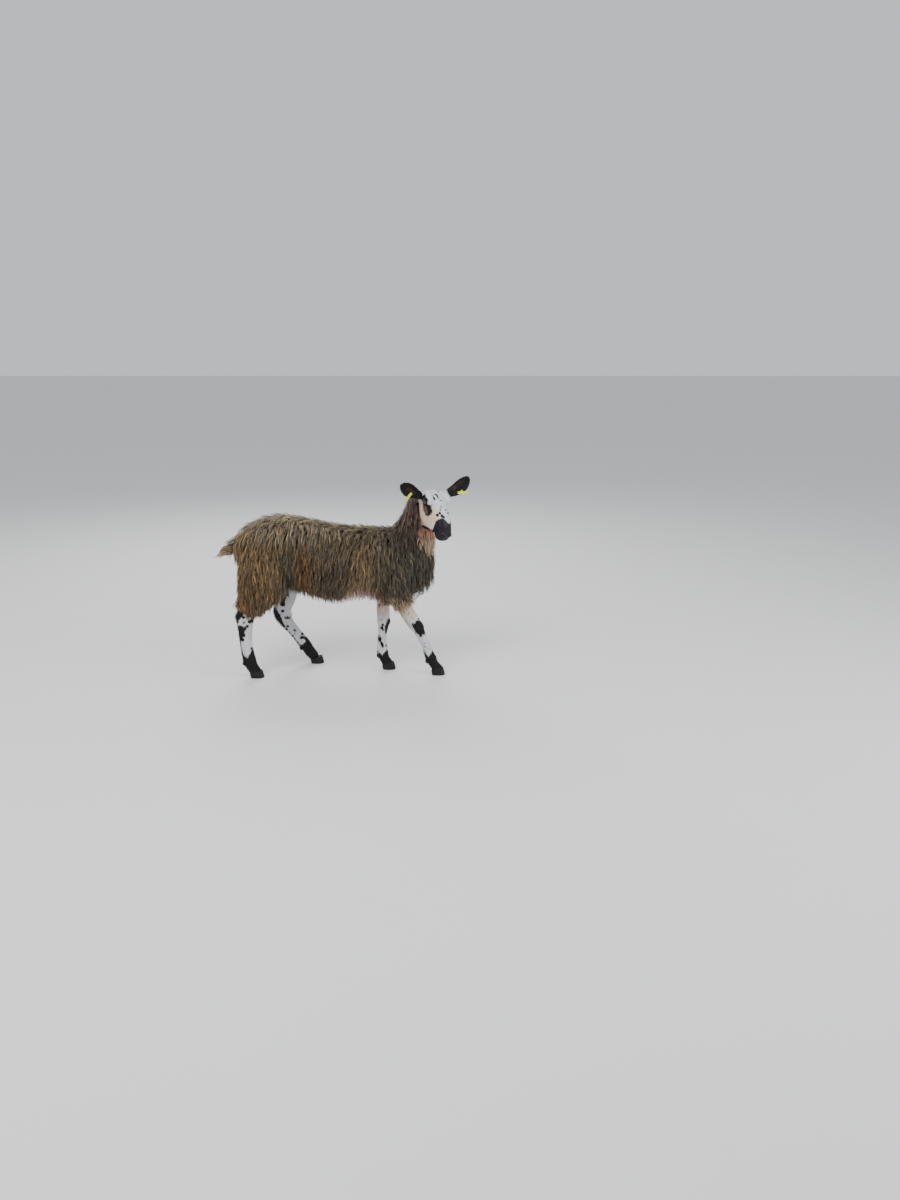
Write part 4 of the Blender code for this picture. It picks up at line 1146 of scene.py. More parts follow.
def sock_field(places):
    """Over 0.5 below the ragged top of the black socks."""
    x, y, z = places.T
    result = np.zeros(len(places))
    for (low, high, middle, *heights), ((_, side), _) in zip(SOCKS, FEET.values()):
        here = (x > low) & (x < high) & (abs(y - side) < 0.075)
        top = np.interp(x - middle, (-0.022, 0.0, 0.022), heights)
        result = np.where(here, np.maximum(result, np.clip(0.5 + (top - z) / 0.05, 0, 1)), result)
    return result


def muzzle_fields(head):
    """The muzzle and the pale rims of lip and nostril, for places in the head's own axes."""
    forward, across, down = head[:, 0], head[:, 1], -head[:, 2]
    # The muzzle starts farther forward on the blaze and low on the face
    blaze = bells(across - 0.010, 0.019) * ease(-down, 0.005, 0.025)
    low = 0.016 * ease(down, -0.016, 0.028) + 0.030 * ease(down, 0.031, 0.040)
    start = 0.1075 + 0.026 * blaze + low
    lip = ease(down, 0.0345, 0.037) * (1 - ease(down, 0.0405, 0.045)) * ease(forward, 0.130, 0.150)
    rim = np.linalg.norm((head - (0.184, 0.020, -0.024)) / (0.007, 0.015, 0.0075), axis=1)
    return np.clip(0.5 + (forward - start) / 0.03, 0, 1), np.maximum(lip, 1 - ease(rim, 0.6, 1.0))


def hair_fields(places):
    """Black, brown, tan, muzzle and pink over the short hair."""
    head = to_head(places)
    on_head = near_head(places)
    ears = ear_share(places)
    # Black markings; among the face spots are painted shade at the jaw's edge and in the nostril
    black = np.where(on_head, spots_field(head, FACE_SPOTS), spots_field(places, LEG_SPOTS))
    # Black ears, with a pale brow in front of the right one's root
    far_side = head[:, 1] > 0
    ear_black = np.where(far_side, ease(ears, 0.13, 0.23), ease(ears, -0.02, 0.05))
    brow = ease(head[:, 2], 0.022, 0.030) * ease(head[:, 0], -0.030, -0.023)
    ear_black *= 1 - brow * (ears < 0.22) * ~far_side
    black = np.maximum(black, np.where(ears >= 0, ear_black, 0))
    black = np.maximum(black, sock_field(places))
    brown = np.where(on_head, spots_field(head, EYE_PATCH_CORE), 0)
    tan = np.zeros(len(places))
    for centre, radii, strength in TAN_SPOTS:
        distance = np.linalg.norm((head - np.array(centre)) / radii, axis=1)
        tan = np.maximum(tan, strength * (1 - ease(distance, 0.3, 1.1)))
    # Pale to tan throat and cream forearms
    tan = np.maximum(tan, throat_field(places) * (0.34 + 0.46 * ease(places[:, 2], 0.660, 0.695)))
    forearm = (places[:, 0] > 0.10) & ~on_head
    cream = np.where(places[:, 1] < 0, 0.44, 0.62)
    tan = np.maximum(tan, forearm * cream * ease(places[:, 2], 0.22, 0.34))
    # Brown inside of the ears
    for way in (-1, 1):
        inner, _ = from_segment(places, ear_frame(way)[0], EAR_TIP[way])
        inner = 0.475 * (1 - ease(inner, 0.008, 0.026))
        brown = np.maximum(brown, inner * ease(ears, 0.12, 0.3) * ease(-ears, -0.9, -0.7))
    muzzle, lip = muzzle_fields(head)
    muzzle = np.where(on_head & (ears < 0), muzzle, 0) * (1 - lip)
    return {"black": black, "brown": brown, "tan": tan, "muzzle": muzzle, "pink": lip * 0.9 * on_head}


# Colours of the wool: x, z, reach along each, and the colour as it looks on a screen
WOOL_ZONES = (
    (-0.42, 0.62, 0.10, 0.07, (0.46, 0.38, 0.27)),
    (-0.42, 0.50, 0.10, 0.08, (0.43, 0.35, 0.24)),
    (-0.47, 0.40, 0.06, 0.08, (0.43, 0.31, 0.21)),
    (-0.38, 0.38, 0.05, 0.06, (0.35, 0.31, 0.24)),
    (-0.165, 0.54, 0.035, 0.08, (0.41, 0.30, 0.20)),
    (-0.24, 0.50, 0.030, 0.10, (0.29, 0.29, 0.23)),
    (-0.05, 0.52, 0.08, 0.09, (0.34, 0.30, 0.24)),
    (0.11, 0.55, 0.05, 0.08, (0.46, 0.39, 0.29)),
    (0.21, 0.735, 0.05, 0.030, (0.56, 0.50, 0.46)),
    (0.24, 0.58, 0.06, 0.12, (0.31, 0.29, 0.24)),
    (0.33, 0.56, 0.06, 0.12, (0.29, 0.28, 0.25)),
    (0.31, 0.70, 0.06, 0.05, (0.23, 0.20, 0.18)),
    (0.34, 0.80, 0.06, 0.05, (0.36, 0.30, 0.28)),
    (-0.58, 0.60, 0.05, 0.06, (0.80, 0.68, 0.60)),
    (-0.485, 0.585, 0.02, 0.03, (0.19, 0.15, 0.11)),
    (0.11, 0.43, 0.05, 0.035, (0.46, 0.40, 0.35)),
    (0.165, 0.42, 0.03, 0.045, (0.39, 0.31, 0.23)),
)
WOOL_GROUND = (0.36, 0.32, 0.25)
WOOL_BACK = (0.50, 0.46, 0.37)
# The belly behind the forelegs, where the wool is short and the skin shows
BARE_BELLY = 0.085
THROAT_PALE = (0.70, 0.62, 0.49)
THROAT_TAN = (0.68, 0.50, 0.38)
FRINGE = (0.58, 0.50, 0.40)
BELLY_PINK = (0.74, 0.64, 0.60)


def wool_colours(places, rng):
    """The colour of the wool at each root, with chance changes from strand to strand."""
    x, _, z = places.T
    throat = throat_field(places)
    orange = ease(z, 0.680, 0.705)
    fringe = bells(x - 0.245, 0.050) * (1 - ease(z, 0.415, 0.445))
    weights = [np.full(len(places), 0.30), 1.3 * ease(z, 0.668, 0.728) * (1 - ease(x, 0.20, 0.30))]
    belly = bells(x - BARE_BELLY, 0.040) * (1 - ease(z, 0.450, 0.475))
    weights += [12.0 * throat * (1 - orange), 12.0 * throat * orange, 6.0 * fringe, 14.0 * belly]
    colours = [WOOL_GROUND, WOOL_BACK, THROAT_PALE, THROAT_TAN, FRINGE, BELLY_PINK]
    for cx, cz, rx, rz, colour in WOOL_ZONES:
        weights.append(1.4 * np.exp(-(((x - cx) / rx) ** 2) - ((z - cz) / rz) ** 2))
        colours.append(colour)
    weights = np.array(weights) * rng.uniform(0.6, 1.4, (len(weights), len(places)))
    mixed = (weights.T @ np.array(colours)) / weights.sum(axis=0)[:, None]
    pale = (rng.random(len(places)) < 0.20 * (1 - throat))[:, None]
    mixed = np.where(pale, mixed * (1.40, 1.34, 1.22), mixed)
    return (mixed * (0.97, 0.98, 1.04)) ** 2.2


# Coat
def wool_lie(point, outward):
    """Which way wool lies: back along the spine and tail, and down the sides."""
    way = max(-1.0, min(1.0, point.y / 0.035))
    if point.x < -0.50 and point.z > 0.55:
        return Vector((-1.0, 0.12 * way, -0.20))
    if outward.z > 0.93 and point.z < 0.80:
        return Vector((-0.8, 0.75 * way, -0.5))
    high = clamp((point.z - 0.62) / 0.06)
    return Vector((between(LEAN, point.x) * (1 - high) - 0.06 * high, 0.30 * way, -1.0))


def hair_lie(point, outward):
    """Which way short hair lies: back over the face, out along the ears, down the throat and legs."""
    if (point - HEAD_CENTRE).length < FACE_REACH:
        for way in (-1, 1):
            root, along, _, _ = ear_frame(way)
            up_ear = (point - root).dot(along)
            if 0.0 < up_ear and ((point - root) - along * up_ear).length < 0.045:
                return along
        head = HEAD_PLACE.inverted() @ point
        if head.x > -0.03:
            return HEAD_PLACE.to_3x3() @ Vector((-1.0, 0.55 * math.copysign(1, head.y), -0.55))
    return Vector((-0.12, 0.0, -1.0))


class Surface:
    """The skin as something to grow a coat on."""

    def __init__(self, mesh):
        mesh.calc_loop_triangles()
        faces = np.empty(len(mesh.loop_triangles) * 3, np.int32)
        mesh.loop_triangles.foreach_get("vertices", faces)
        self.faces = faces.reshape(-1, 3)
        self.places = corners_of(mesh)
        self.tree = BVHTree.FromPolygons(self.places.tolist(), self.faces.tolist())
        a, b, c = (self.places[self.faces[:, k]] for k in range(3))
        across = np.cross(b - a, c - a)
        self.areas = np.linalg.norm(across, axis=1) / 2
        self.normals = across / np.maximum(2 * self.areas, 1e-12)[:, None]

    def scatter(self, keep, tries, apart, rng):
        """Roots and normals where keep says so, no two nearer than apart."""
        centres = self.places[self.faces].mean(axis=1)
        weights = self.areas * keep(centres, self.normals)
        chosen = rng.choice(len(weights), tries, p=weights / weights.sum())
        u, v = np.sort(rng.random((2, tries)), axis=0)
        a, b, c = (self.places[self.faces[chosen, k]] for k in range(3))
        roots = a * u[:, None] + b * (v - u)[:, None] + c * (1 - v)[:, None]
        cells = {}
        kept = []
        near = [(i, j, k) for i in (-1, 0, 1) for j in (-1, 0, 1) for k in (-1, 0, 1)]
        for index, root in enumerate(roots.tolist()):
            x, y, z = (int(c // apart) for c in root)
            close = (
                other
                for i, j, k in near
                for other in cells.get((x + i, y + j, z + k), ())
                if math.dist(other, root) < apart
            )
            if next(close, None) is None:
                cells.setdefault((x, y, z), []).append(root)
                kept.append(index)
        return roots[kept], self.normals[chosen[kept]]

    def walk(self, root, normal, length, shares, heights, lie_of, sway, hang=True):
        """Points and outward directions of a tuft that lies over the skin and may hang past it."""
        point, outward = Vector(root), Vector(normal)
        points, facings = [point + outward * heights[0]], [outward.copy()]
        for before, share, height in zip(shares, shares[1:], heights[1:]):
            lie = lie_of(point, outward) + sway
            if not hang or outward.z > -0.5:
                lie -= outward * lie.dot(outward)
            lie.normalize()
            point = point + lie * length * (share - before)
            near, facing, _, _ = self.tree.find_nearest(point)
            if facing.z > -0.35 or not hang:
                point = near
                outward = (outward + facing * 1.5).normalized()
            else:
                outward = Vector((outward.x, outward.y, max(outward.z, 0.0)))
                sideways = Vector((0, math.copysign(1, point.y), 0))
                outward = outward.normalized() if outward.length > 0.1 else sideways
            points.append(point + outward * height)
            facings.append(outward.copy())
        return points, facings


def unwrapped(places):
    """Where each place lies when its part of the skin is laid out flat, in metres."""
    x, y, z = places.T
    head = to_head(places)
    on_head = near_head(places)
    around_trunk = np.arctan2(y, z - 0.57) * 0.17
    around_head = np.arctan2(head[:, 1], head[:, 2] + 0.01) * 0.06
    middles = np.array([foot for foot, _ in FEET.values()])
    gaps = np.hypot(x[:, None] - middles[:, 0], y[:, None] - middles[:, 1])
    nearest = gaps.argmin(axis=1)
    around_leg = np.arctan2(y - middles[nearest, 1], x - middles[nearest, 0]) * 0.04
    low = (z < 0.42) & ~on_head
    u = np.where(on_head, head[:, 0], np.where(low, around_leg + 0.3 * nearest, x))
    v = np.where(on_head, around_head, np.where(low, z, around_trunk))
    return np.stack((u, v), axis=1)


def tuft_mesh(name, points, facings, widths, profile, flat, roots, fields):
    """Closed three-sided, pointed tufts; points and facings are arrays by tuft, ring and axis."""
    count, rings = points.shape[0], points.shape[1] - 1
    along = np.gradient(points, axis=1)
    along /= np.linalg.norm(along, axis=2, keepdims=True)
    side = np.cross(along, facings)
    side /= np.maximum(np.linalg.norm(side, axis=2, keepdims=True), 1e-6)
    outward = np.cross(side, along)
    half = (widths[:, None] * np.array(profile) / 2)[:, :, None]
    body, side, outward = points[:, :-1], side[:, :-1], outward[:, :-1]
    corners = np.stack((body - side * half, body + outward * half * flat, body + side * half), axis=2)
    corners = np.concatenate((corners.reshape(count, rings * 3, 3), points[:, -1:]), axis=1)
    faces = []
    for ring in range(rings - 1):
        for k in range(3):
            a, b = ring * 3 + k, ring * 3 + (k + 1) % 3
            faces += [(a, b, b + 3), (a, b + 3, a + 3)]
    last = (rings - 1) * 3
    faces += [(last + k, last + (k + 1) % 3, rings * 3) for k in range(3)] + [(2, 1, 0)]
    faces = np.array(faces)
    each = rings * 3 + 1
    indices = (faces[None] + each * np.arange(count)[:, None, None]).reshape(-1)
    mesh = bpy.data.meshes.new(name)
    mesh.vertices.add(count * each)
    mesh.vertices.foreach_set("co", corners.astype(np.float32).ravel())
    mesh.loops.add(len(indices))
    mesh.loops.foreach_set("vertex_index", indices.astype(np.int32))
    mesh.polygons.add(len(indices) // 3)
    mesh.polygons.foreach_set("loop_start", np.arange(0, len(indices), 3, dtype=np.int32))
    mesh.update(calc_edges=True)
    share = np.append(np.repeat(np.arange(rings) / rings, 3), 1.0)
    across = np.append(np.tile((0.0, 0.5, 1.0), rings), 0.5)
    add_attribute(mesh, "share", np.tile(share, count))
    add_attribute(mesh, "root_place", np.repeat(roots, each, axis=0), "FLOAT_VECTOR")
    for field, (values, kind) in fields.items():
        add_attribute(mesh, field, np.repeat(values, each, axis=0), kind)
    flat_roots = unwrapped(roots)
    low, high = flat_roots.min(axis=0), flat_roots.max(axis=0)
    flat_roots = 0.01 + 0.97 * (flat_roots - low) / np.maximum(high - low, 1e-6)
    patch = np.stack((across, share), axis=1) * 0.003
    uv = (flat_roots[:, None] + patch[None]).reshape(-1, 2)[indices]
    mesh.uv_layers.new(name="OFBake").data.foreach_set("uv", uv.astype(np.float32).ravel())
    return mesh


# Rings of a strand and of a hair tuft: how far along, how far out, and how wide
WOOL_SHARES = (0.0, 0.19, 0.39, 0.60, 0.81, 1.0)
WOOL_RISE = (-0.06, 0.42, 0.70, 0.88, 0.97, 1.0)
WOOL_PROFILE = (0.60, 0.95, 1.0, 0.90, 0.60)
HAIR_SHARES = (0.0, 0.35, 0.7, 1.0)
HAIR_RISE = (0.5, 0.9, 1.2)
HAIR_ROOT = -0.0008
HAIR_PROFILE = (0.8, 1.0, 0.7)
HAIR_APART = 0.0042
WOOL_SEED, HAIR_SEED = 17, 23
# Shares of the settings' length: of the tail, lost up the neck, of the throat, won at the breast,
# and of the fringe between the forelegs
TAIL_WOOL, NECK_LOSS, THROAT_WOOL, BREAST_GAIN, FRINGE_WOOL = 0.96, 0.40, 0.62, 0.12, 1.40
SHORTEST_WOOL = 0.022


def wool_length(point, settings):
    """Long on the flanks, shorter on the neck, tail and thighs, and no lower than the hem."""
    if point.x < TAIL_START and point.z > TAIL_UNDERSIDE:
        return TAIL_WOOL * settings.length
    length = settings.length * (1 - NECK_LOSS * clamp((point.z - 0.70) / 0.12))
    if throat_field(np.array([point]))[0] > 0.5:
        length *= THROAT_WOOL
    hem = between(HEM, point.x, 1 if point.y < 0 else 2)
    if point.z > 0.46:
        hem += 0.046 * bell(point.x - BARE_BELLY, 0.045)
    if point.x > 0.30 and point.z < 0.56:
        length *= 1 + BREAST_GAIN * min(1.0, (point.x - 0.30) / 0.03)
    if 0.17 < point.x < 0.27 and point.z < 0.46:
        length *= FRINGE_WOOL
    return max(SHORTEST_WOOL, min(length, (point.z - hem) * 1.05))


def wool_lift(point, normal):
    """How much of its full stand the wool has: more on rump and withers, less on tail and belly."""
    if point.x < TAIL_START and point.z > TAIL_UNDERSIDE:
        return 0.5
    if normal[2] < -0.5:
        return 0.4
    if point.x < -0.42 and point.z < 0.60:
        return 0.92
    top = clamp((normal[2] - 0.3) / 0.4)
    rump, withers = (bell(point.x - x, 0.12) for x in (-0.31, 0.09))
    return 1.0 + top * (0.44 * rump + 0.30 * withers - 0.04)


def grow_wool(surface, settings, rng):
    """Strands of every lock: points, outward directions, widths and roots."""

    def keep(places, normals):
        x, y, z = places.T
        inside = (abs(y) < 0.085) & (z < 0.50) & (abs(normals[:, 1]) > 0.3) & (y * normals[:, 1] < 0)
        return (wool_field(places) > 0.45) & ~inside

    area = (surface.areas * keep(surface.places[surface.faces].mean(axis=1), surface.normals)).sum()
    apart = 0.80 * math.sqrt(area / settings.locks)
    roots, normals = surface.scatter(keep, settings.locks * 5, apart, rng)
    paths, outs, lengths = [], [], []
    for root, normal in zip(roots, normals):
        point = Vector(root)
        length = wool_length(point, settings) * rng.uniform(0.88, 1.12)
        stand = settings.stand * rng.uniform(0.75, 1.25) * min(1.0, 0.35 + length / 0.07)
        stand *= wool_lift(point, normal)
        sway = Vector((rng.normal(0, 0.16), rng.normal(0, 0.10), 0))
        heights = [stand * rise for rise in WOOL_RISE]
        points, facings = surface.walk(root, normal, length, WOOL_SHARES, heights, wool_lie, sway)
        paths.append(points)
        outs.append(facings)
        lengths.append(length)
    paths, outs, lengths = (np.array(part, float) for part in (paths, outs, lengths))
    locks, each, rings = len(paths), settings.strands, len(WOOL_SHARES)
    along = np.gradient(paths, axis=1)
    along /= np.linalg.norm(along, axis=2, keepdims=True)
    side = np.cross(along, outs)
    side /= np.maximum(np.linalg.norm(side, axis=2, keepdims=True), 1e-6)
    share = np.array(WOOL_SHARES)[None, None, :, None]
    spread = rng.normal(0, 0.50 * apart, (locks, each, 1, 1)) * (1 - 0.55 * share)
    ahead = rng.uniform(-0.5, 0.5, (locks, each, 1, 1)) * apart
    lift = rng.uniform(-0.0035, 0.0035, (locks, each, 1, 1)) * share
    trim = rng.uniform(0.78, 1.10, (locks, each, 1, 1))
    phase = rng.uniform(0, math.tau, (locks, 1, 1, 1)) + rng.normal(0, 0.5, (locks, each, 1, 1))
    turn = phase + math.tau * share * (lengths / settings.wave)[:, None, None, None]
    swing = settings.curl * np.minimum(1, share * 5) * rng.uniform(0.6, 1.35, (locks, each, 1, 1))
    start = paths[:, None, :1]
    points = start + (paths[:, None] - start) * trim
    points = points + side[:, None] * (spread + swing * np.sin(turn)) + along[:, None] * ahead
    points = points + outs[:, None] * (lift + 0.5 * swing * np.cos(turn))
    facings = np.broadcast_to(outs[:, None], points.shape)
    widths = settings.width * rng.uniform(0.7, 1.3, locks * each)
    tones = np.repeat(rng.uniform(0.78, 1.22, locks), each) * rng.uniform(0.52, 1.52, locks * each)
    shape = (locks * each, rings, 3)
    return points.reshape(shape), facings.reshape(shape), widths, np.repeat(roots, each, axis=0), tones


def wool_part(roots):
    """The name of the part of the fleece that each root belongs to."""
    x, y, z = roots.T
    ends = np.array((-0.36, -0.24, -0.12, 0.0, 0.12, 0.24))
    names = np.array(("rump", "hip", "loin", "rib", "elbow", "shoulder", "breast"))
    part = names[np.searchsorted(ends, x)].astype(object)
    part = part + np.where(y < 0, "_right", "_left").astype(object)
    part[(x < -0.49) & (z > 0.54)] = "tail"
    part[(x > 0.20) & (z > 0.70)] = "neck"
    return part


def grow_hair(surface, settings, rng):
    """Short tufts on the face, ears, throat and legs."""

    def keep(places, normals):
        head = to_head(places)
        near_eye = np.hypot(head[:, 0] - EYE_PLACE.x, head[:, 2] - EYE_PLACE.z) < 0.014
        near_eye &= abs(abs(head[:, 1]) - 0.058) < 0.016
        on_head = near_head(places)
        muzzle = on_head & (head[:, 0] > 0.112)
        hoof = places[:, 2] < 0.042
        density = np.where(on_head, 1.0, 0.62)
        return density * (wool_field(places) < 0.55) * ~near_eye * ~muzzle * ~hoof

    roots, normals = surface.scatter(keep, settings.hair_count * 2, HAIR_APART, rng)
    roots, normals = roots[: settings.hair_count], normals[: settings.hair_count]
    points, facings = [], []
    for root, normal in zip(roots, normals):
        point = Vector(root)
        head = to_head(root[None])[0]
        if (point - HEAD_CENTRE).length < HEAD_REACH:
            length = 0.75 + 0.9 * clamp((-0.01 - head[0]) / 0.04) + 0.3 * (head[2] < -0.05)
        else:
            behind = normal[0] < -0.5
            length = 1.0 + 0.5 * behind + 1.2 * clamp((point.z - 0.40) / 0.08)
            if behind and 0.25 < point.x and 0.25 < point.z < 0.38:
                length *= 2.3
        length *= settings.hair_length * rng.uniform(0.75, 1.25)
        lift = 0.16 * length * rng.uniform(0.6, 1.5)
        sway = Vector(rng.normal(0, 0.12, 3))
        heights = [HAIR_ROOT] + [rise * lift for rise in HAIR_RISE]
        path, out = surface.walk(root, normal, length, HAIR_SHARES, heights, hair_lie, sway, False)
        points.append(path)
        facings.append(out)
    return np.array(points, float), np.array(facings, float), roots


# Pieces
CORNERS_UNDER_WOOL = 21000
MOUTH_START, MOUTH_DEPTH = 0.095, 0.0042


def skin_mesh(settings):
    """All shapes of flesh drawn into one surface, smoothed, and thinned where wool covers it."""
    builder = bmesh.new()
    body_shapes(builder)
    mesh = mesh_of("ewe_skin", builder)
    mesh = with_modifier(mesh, "REMESH", {"mode": "VOXEL", "voxel_size": settings.voxel})
    places = corners_of(mesh)
    trunk = wool_field(places)
    ears = ear_share(places)
    head = to_head(places)
    on_face = near_head(places) & (head[:, 0] > -0.06)
    softness = np.where(ears > 0.08, 0.1, np.where(on_face, 0.4, 0.6))
    softness = np.round(np.maximum(softness, trunk), 1)
    mesh = with_modifier(mesh, "SMOOTH", {"factor": 0.5, "iterations": 14}, softness)
    woolly = np.round(wool_field(corners_of(mesh)), 1)
    bare = int((woolly < 0.5).sum())
    ratio = min(1.0, (bare + CORNERS_UNDER_WOOL) / len(woolly))
    return with_modifier(mesh, "DECIMATE", {"ratio": ratio, "vertex_group_factor": 1.0}, woolly)


def shape_face(mesh):
    """Presses the mouth, the nostrils, the cleft of the lip and the eye openings into the skin."""
    builder = bmesh.new()
    builder.from_mesh(mesh)
    inverse = HEAD_PLACE.inverted()
    face = [v for v in builder.verts if (v.co - HEAD_CENTRE).length < FACE_REACH]
    front = {v for v in face if (inverse @ v.co).x > MOUTH_START}
    edges = [e for e in builder.edges if e.verts[0] in front and e.verts[1] in front]
    bmesh.ops.subdivide_edges(builder, edges=edges, cuts=1, smooth=0.4)
    bmesh.ops.triangulate(builder, faces=[f for f in builder.faces if len(f.verts) > 4])
    builder.normal_update()
    turn = HEAD_PLACE.to_3x3()
    moves = []
    for vertex in builder.verts:
        if (vertex.co - HEAD_CENTRE).length > FACE_REACH:
            continue
        place = inverse @ vertex.co
        outward = inverse.to_3x3() @ vertex.normal
        move = Vector()
        if place.x > MOUTH_START:
            # Line of the mouth with the lips on both sides of it
            line = -0.0300 - 0.005 * (1 - abs(place.x - 0.137) / 0.05) * (place.x < 0.187)
            depth = MOUTH_DEPTH * clamp((place.x - 0.098) / 0.02)
            groove = bell(place.z - line, 0.0017)
            move -= outward * depth * groove
            lip = bell(abs(place.z - line) - 0.0042, 0.0026)
            move += outward * 0.0011 * lip * depth / MOUTH_DEPTH
            # Slanting nostrils
            for way in (-1, 1):
                gap = Vector((place.x - 0.183, place.y - way * 0.0165, place.z + 0.0050))
                slot = Vector((gap.x, gap.y * 0.86 - way * gap.z * 0.5, gap.z * 0.86 + way * gap.y * 0.5))
                hole = math.exp(-((slot.x / 0.012) ** 2) - (slot.y / 0.0052) ** 2 - (slot.z / 0.0036) ** 2)
                move += Vector((-0.9, -0.35 * way, 0)) * 0.0085 * hole
            if place.x > 0.165 and place.z < -0.012:
                # Cleft of the upper lip
                move += Vector((-0.0026 * bell(place.y, 0.0017), 0, 0))
        # Openings of the eyes
        for way in (-1, 1):
            offset = place - mirrored(EYE_PLACE, way)
            if way * offset.y > 0.002:
                almond = (offset.x / 0.0146) ** 2 + ((offset.z - 0.10 * offset.x) / 0.0094) ** 2
                if almond < 1:
                    move += Vector((0, -way * 0.0075 * min(1.0, 2.4 * (1 - almond)), 0))
        if move.length_squared:
            moves.append((vertex, turn @ move))
    for vertex, move in moves:
        vertex.co += move
    builder.to_mesh(mesh)
    builder.free()
    return mesh


def eye_axes(way):
    """Where an eye looks, and the level and upright directions of its face."""
    gaze = (HEAD_PLACE.to_3x3() @ Vector((0.28, way * 0.93, 0.16))).normalized()
    level = gaze.cross(Vector((0, 0, 1))).normalized()
    return gaze, level, level.cross(gaze)


def eye_mesh(way):
    """A ball with a bulged front, and the places on it that its colours need."""
    builder = bmesh.new()
    bmesh.ops.create_uvsphere(builder, u_segments=48, v_segments=32, radius=EYE_RADIUS)
    mesh = mesh_of("eye", builder)
    gaze, level, upright = (np.array(axis) for axis in eye_axes(way))
    turn = np.stack((level, upright, gaze))
    local = corners_of(mesh)
    from_axis = np.linalg.norm(local[:, :2], axis=1)
    bulge = 0.0006 * bells(from_axis, 0.006) * (local[:, 2] > 0)
    local[:, 2] += bulge
    centre = np.array(HEAD_PLACE @ mirrored(EYE_PLACE, way))
    mesh.vertices.foreach_set("co", (local @ turn + centre).astype(np.float32).ravel())
    far = np.where(local[:, 2] > 0, 0, 0.02)
    add_attribute(mesh, "eye_across", local[:, 0] + far)
    add_attribute(mesh, "eye_up", local[:, 1])
    add_attribute(mesh, "eye_place", local, "FLOAT_VECTOR")
    return mesh


def lid_mesh(way):
    """The dark rim round an eye: an almond ring, thicker above."""
    builder = bmesh.new()
    centre = mirrored(EYE_PLACE, way)
    spots, away, radii = [], [], []
    for k in range(40):
        angle = math.tau * k / 40
        along = 0.0150 * math.cos(angle)
        corner = abs(math.cos(angle)) ** 6
        high = 0.0090 * math.sin(angle) * (1 - 0.25 * corner) + 0.0016 * math.cos(angle)
        out = math.sqrt(max(0.0, EYE_RADIUS ** 2 - along ** 2 * 0.8 - high ** 2))
        spots.append(HEAD_PLACE @ (centre + Vector((along, way * (out + 0.0002), high))))
        away.append(HEAD_PLACE.to_3x3() @ Vector((math.cos(angle), 0, math.sin(angle))))
        radii.append(0.0021 + 0.0007 * max(0.0, math.sin(angle)) - 0.0006 * corner)
    swept_ring(builder, spots, away, radii)
    return placed_mesh("lid", builder)


# Outer edge of a claw from heel to toe, in shares of the hoof's length and of half the foot's width
CLAW_OUTLINE = (
    (-0.50, 0.62),
    (-0.46, 0.80),
    (-0.34, 0.94),
    (-0.16, 1.00),
    (0.04, 1.00),
    (0.22, 0.94),
    (0.36, 0.78),
    (0.45, 0.56),
    (0.50, 0.28),
)
# From sole to crown: share of the claw's height, and how large the outline is there
CLAW_LEVELS = (
    (0.0, 0.985),
    (0.04, 1.01),
    (0.12, 1.015),
    (0.24, 1.0),
    (0.36, 0.995),
    (0.50, 0.98),
    (0.62, 0.97),
    (0.76, 0.955),
    (0.88, 0.95),
    (0.96, 0.935),
    (1.0, 0.90),
)


def claw_mesh(foot, way):
    """A claw with growth rings, a rounded crown and a flat sole."""
    (middle, side), _ = FEET[foot]
    builder = bmesh.new()
    rings = []
    for index, (share, grow) in enumerate(CLAW_LEVELS):
        slide = 0.003 - 0.007 * share
        grow *= 1.004 if index % 2 else 1.0
        ring = []
        outer = [(x * HOOF_LENGTH * grow + slide, y * HALF_FOOT * grow) for x, y in CLAW_OUTLINE]
        inner = [(x * HOOF_LENGTH * grow + slide, 0.0030 * (0.5 + max(0.0, x))) for x, _ in CLAW_OUTLINE]
        for x, y in outer + inner[::-1]:
            top = HOOF_HEIGHT - 0.004 + x * 0.30
            ring.append(builder.verts.new((middle + x, side + way * y, share * top)))
        rings.append(ring)
    close_rings(builder, rings)
    rims = [e for e in builder.edges if all(v in rings[0] for v in e.verts)]
    bmesh.ops.bevel(builder, geom=rims, offset=0.0006, segments=2, affect="EDGES")
    return placed_mesh("claw", builder)


def dewclaw_mesh(foot, way):
    """A small blunt horn cone that points down behind the fetlock."""
    _, (x, y, z) = FEET[foot]
    builder = bmesh.new()
    for vertex in ball(builder):
        a, b, c = vertex.co
        narrow = 1.0 - 0.30 * max(0.0, -c)
        ahead = x - 0.001 + 0.0092 * a * narrow - 0.002 * c
        vertex.co = Vector((ahead, y + way * 0.0112 + 0.0068 * b * narrow, z + 0.0105 * c))
    return placed_mesh("dewclaw", builder)


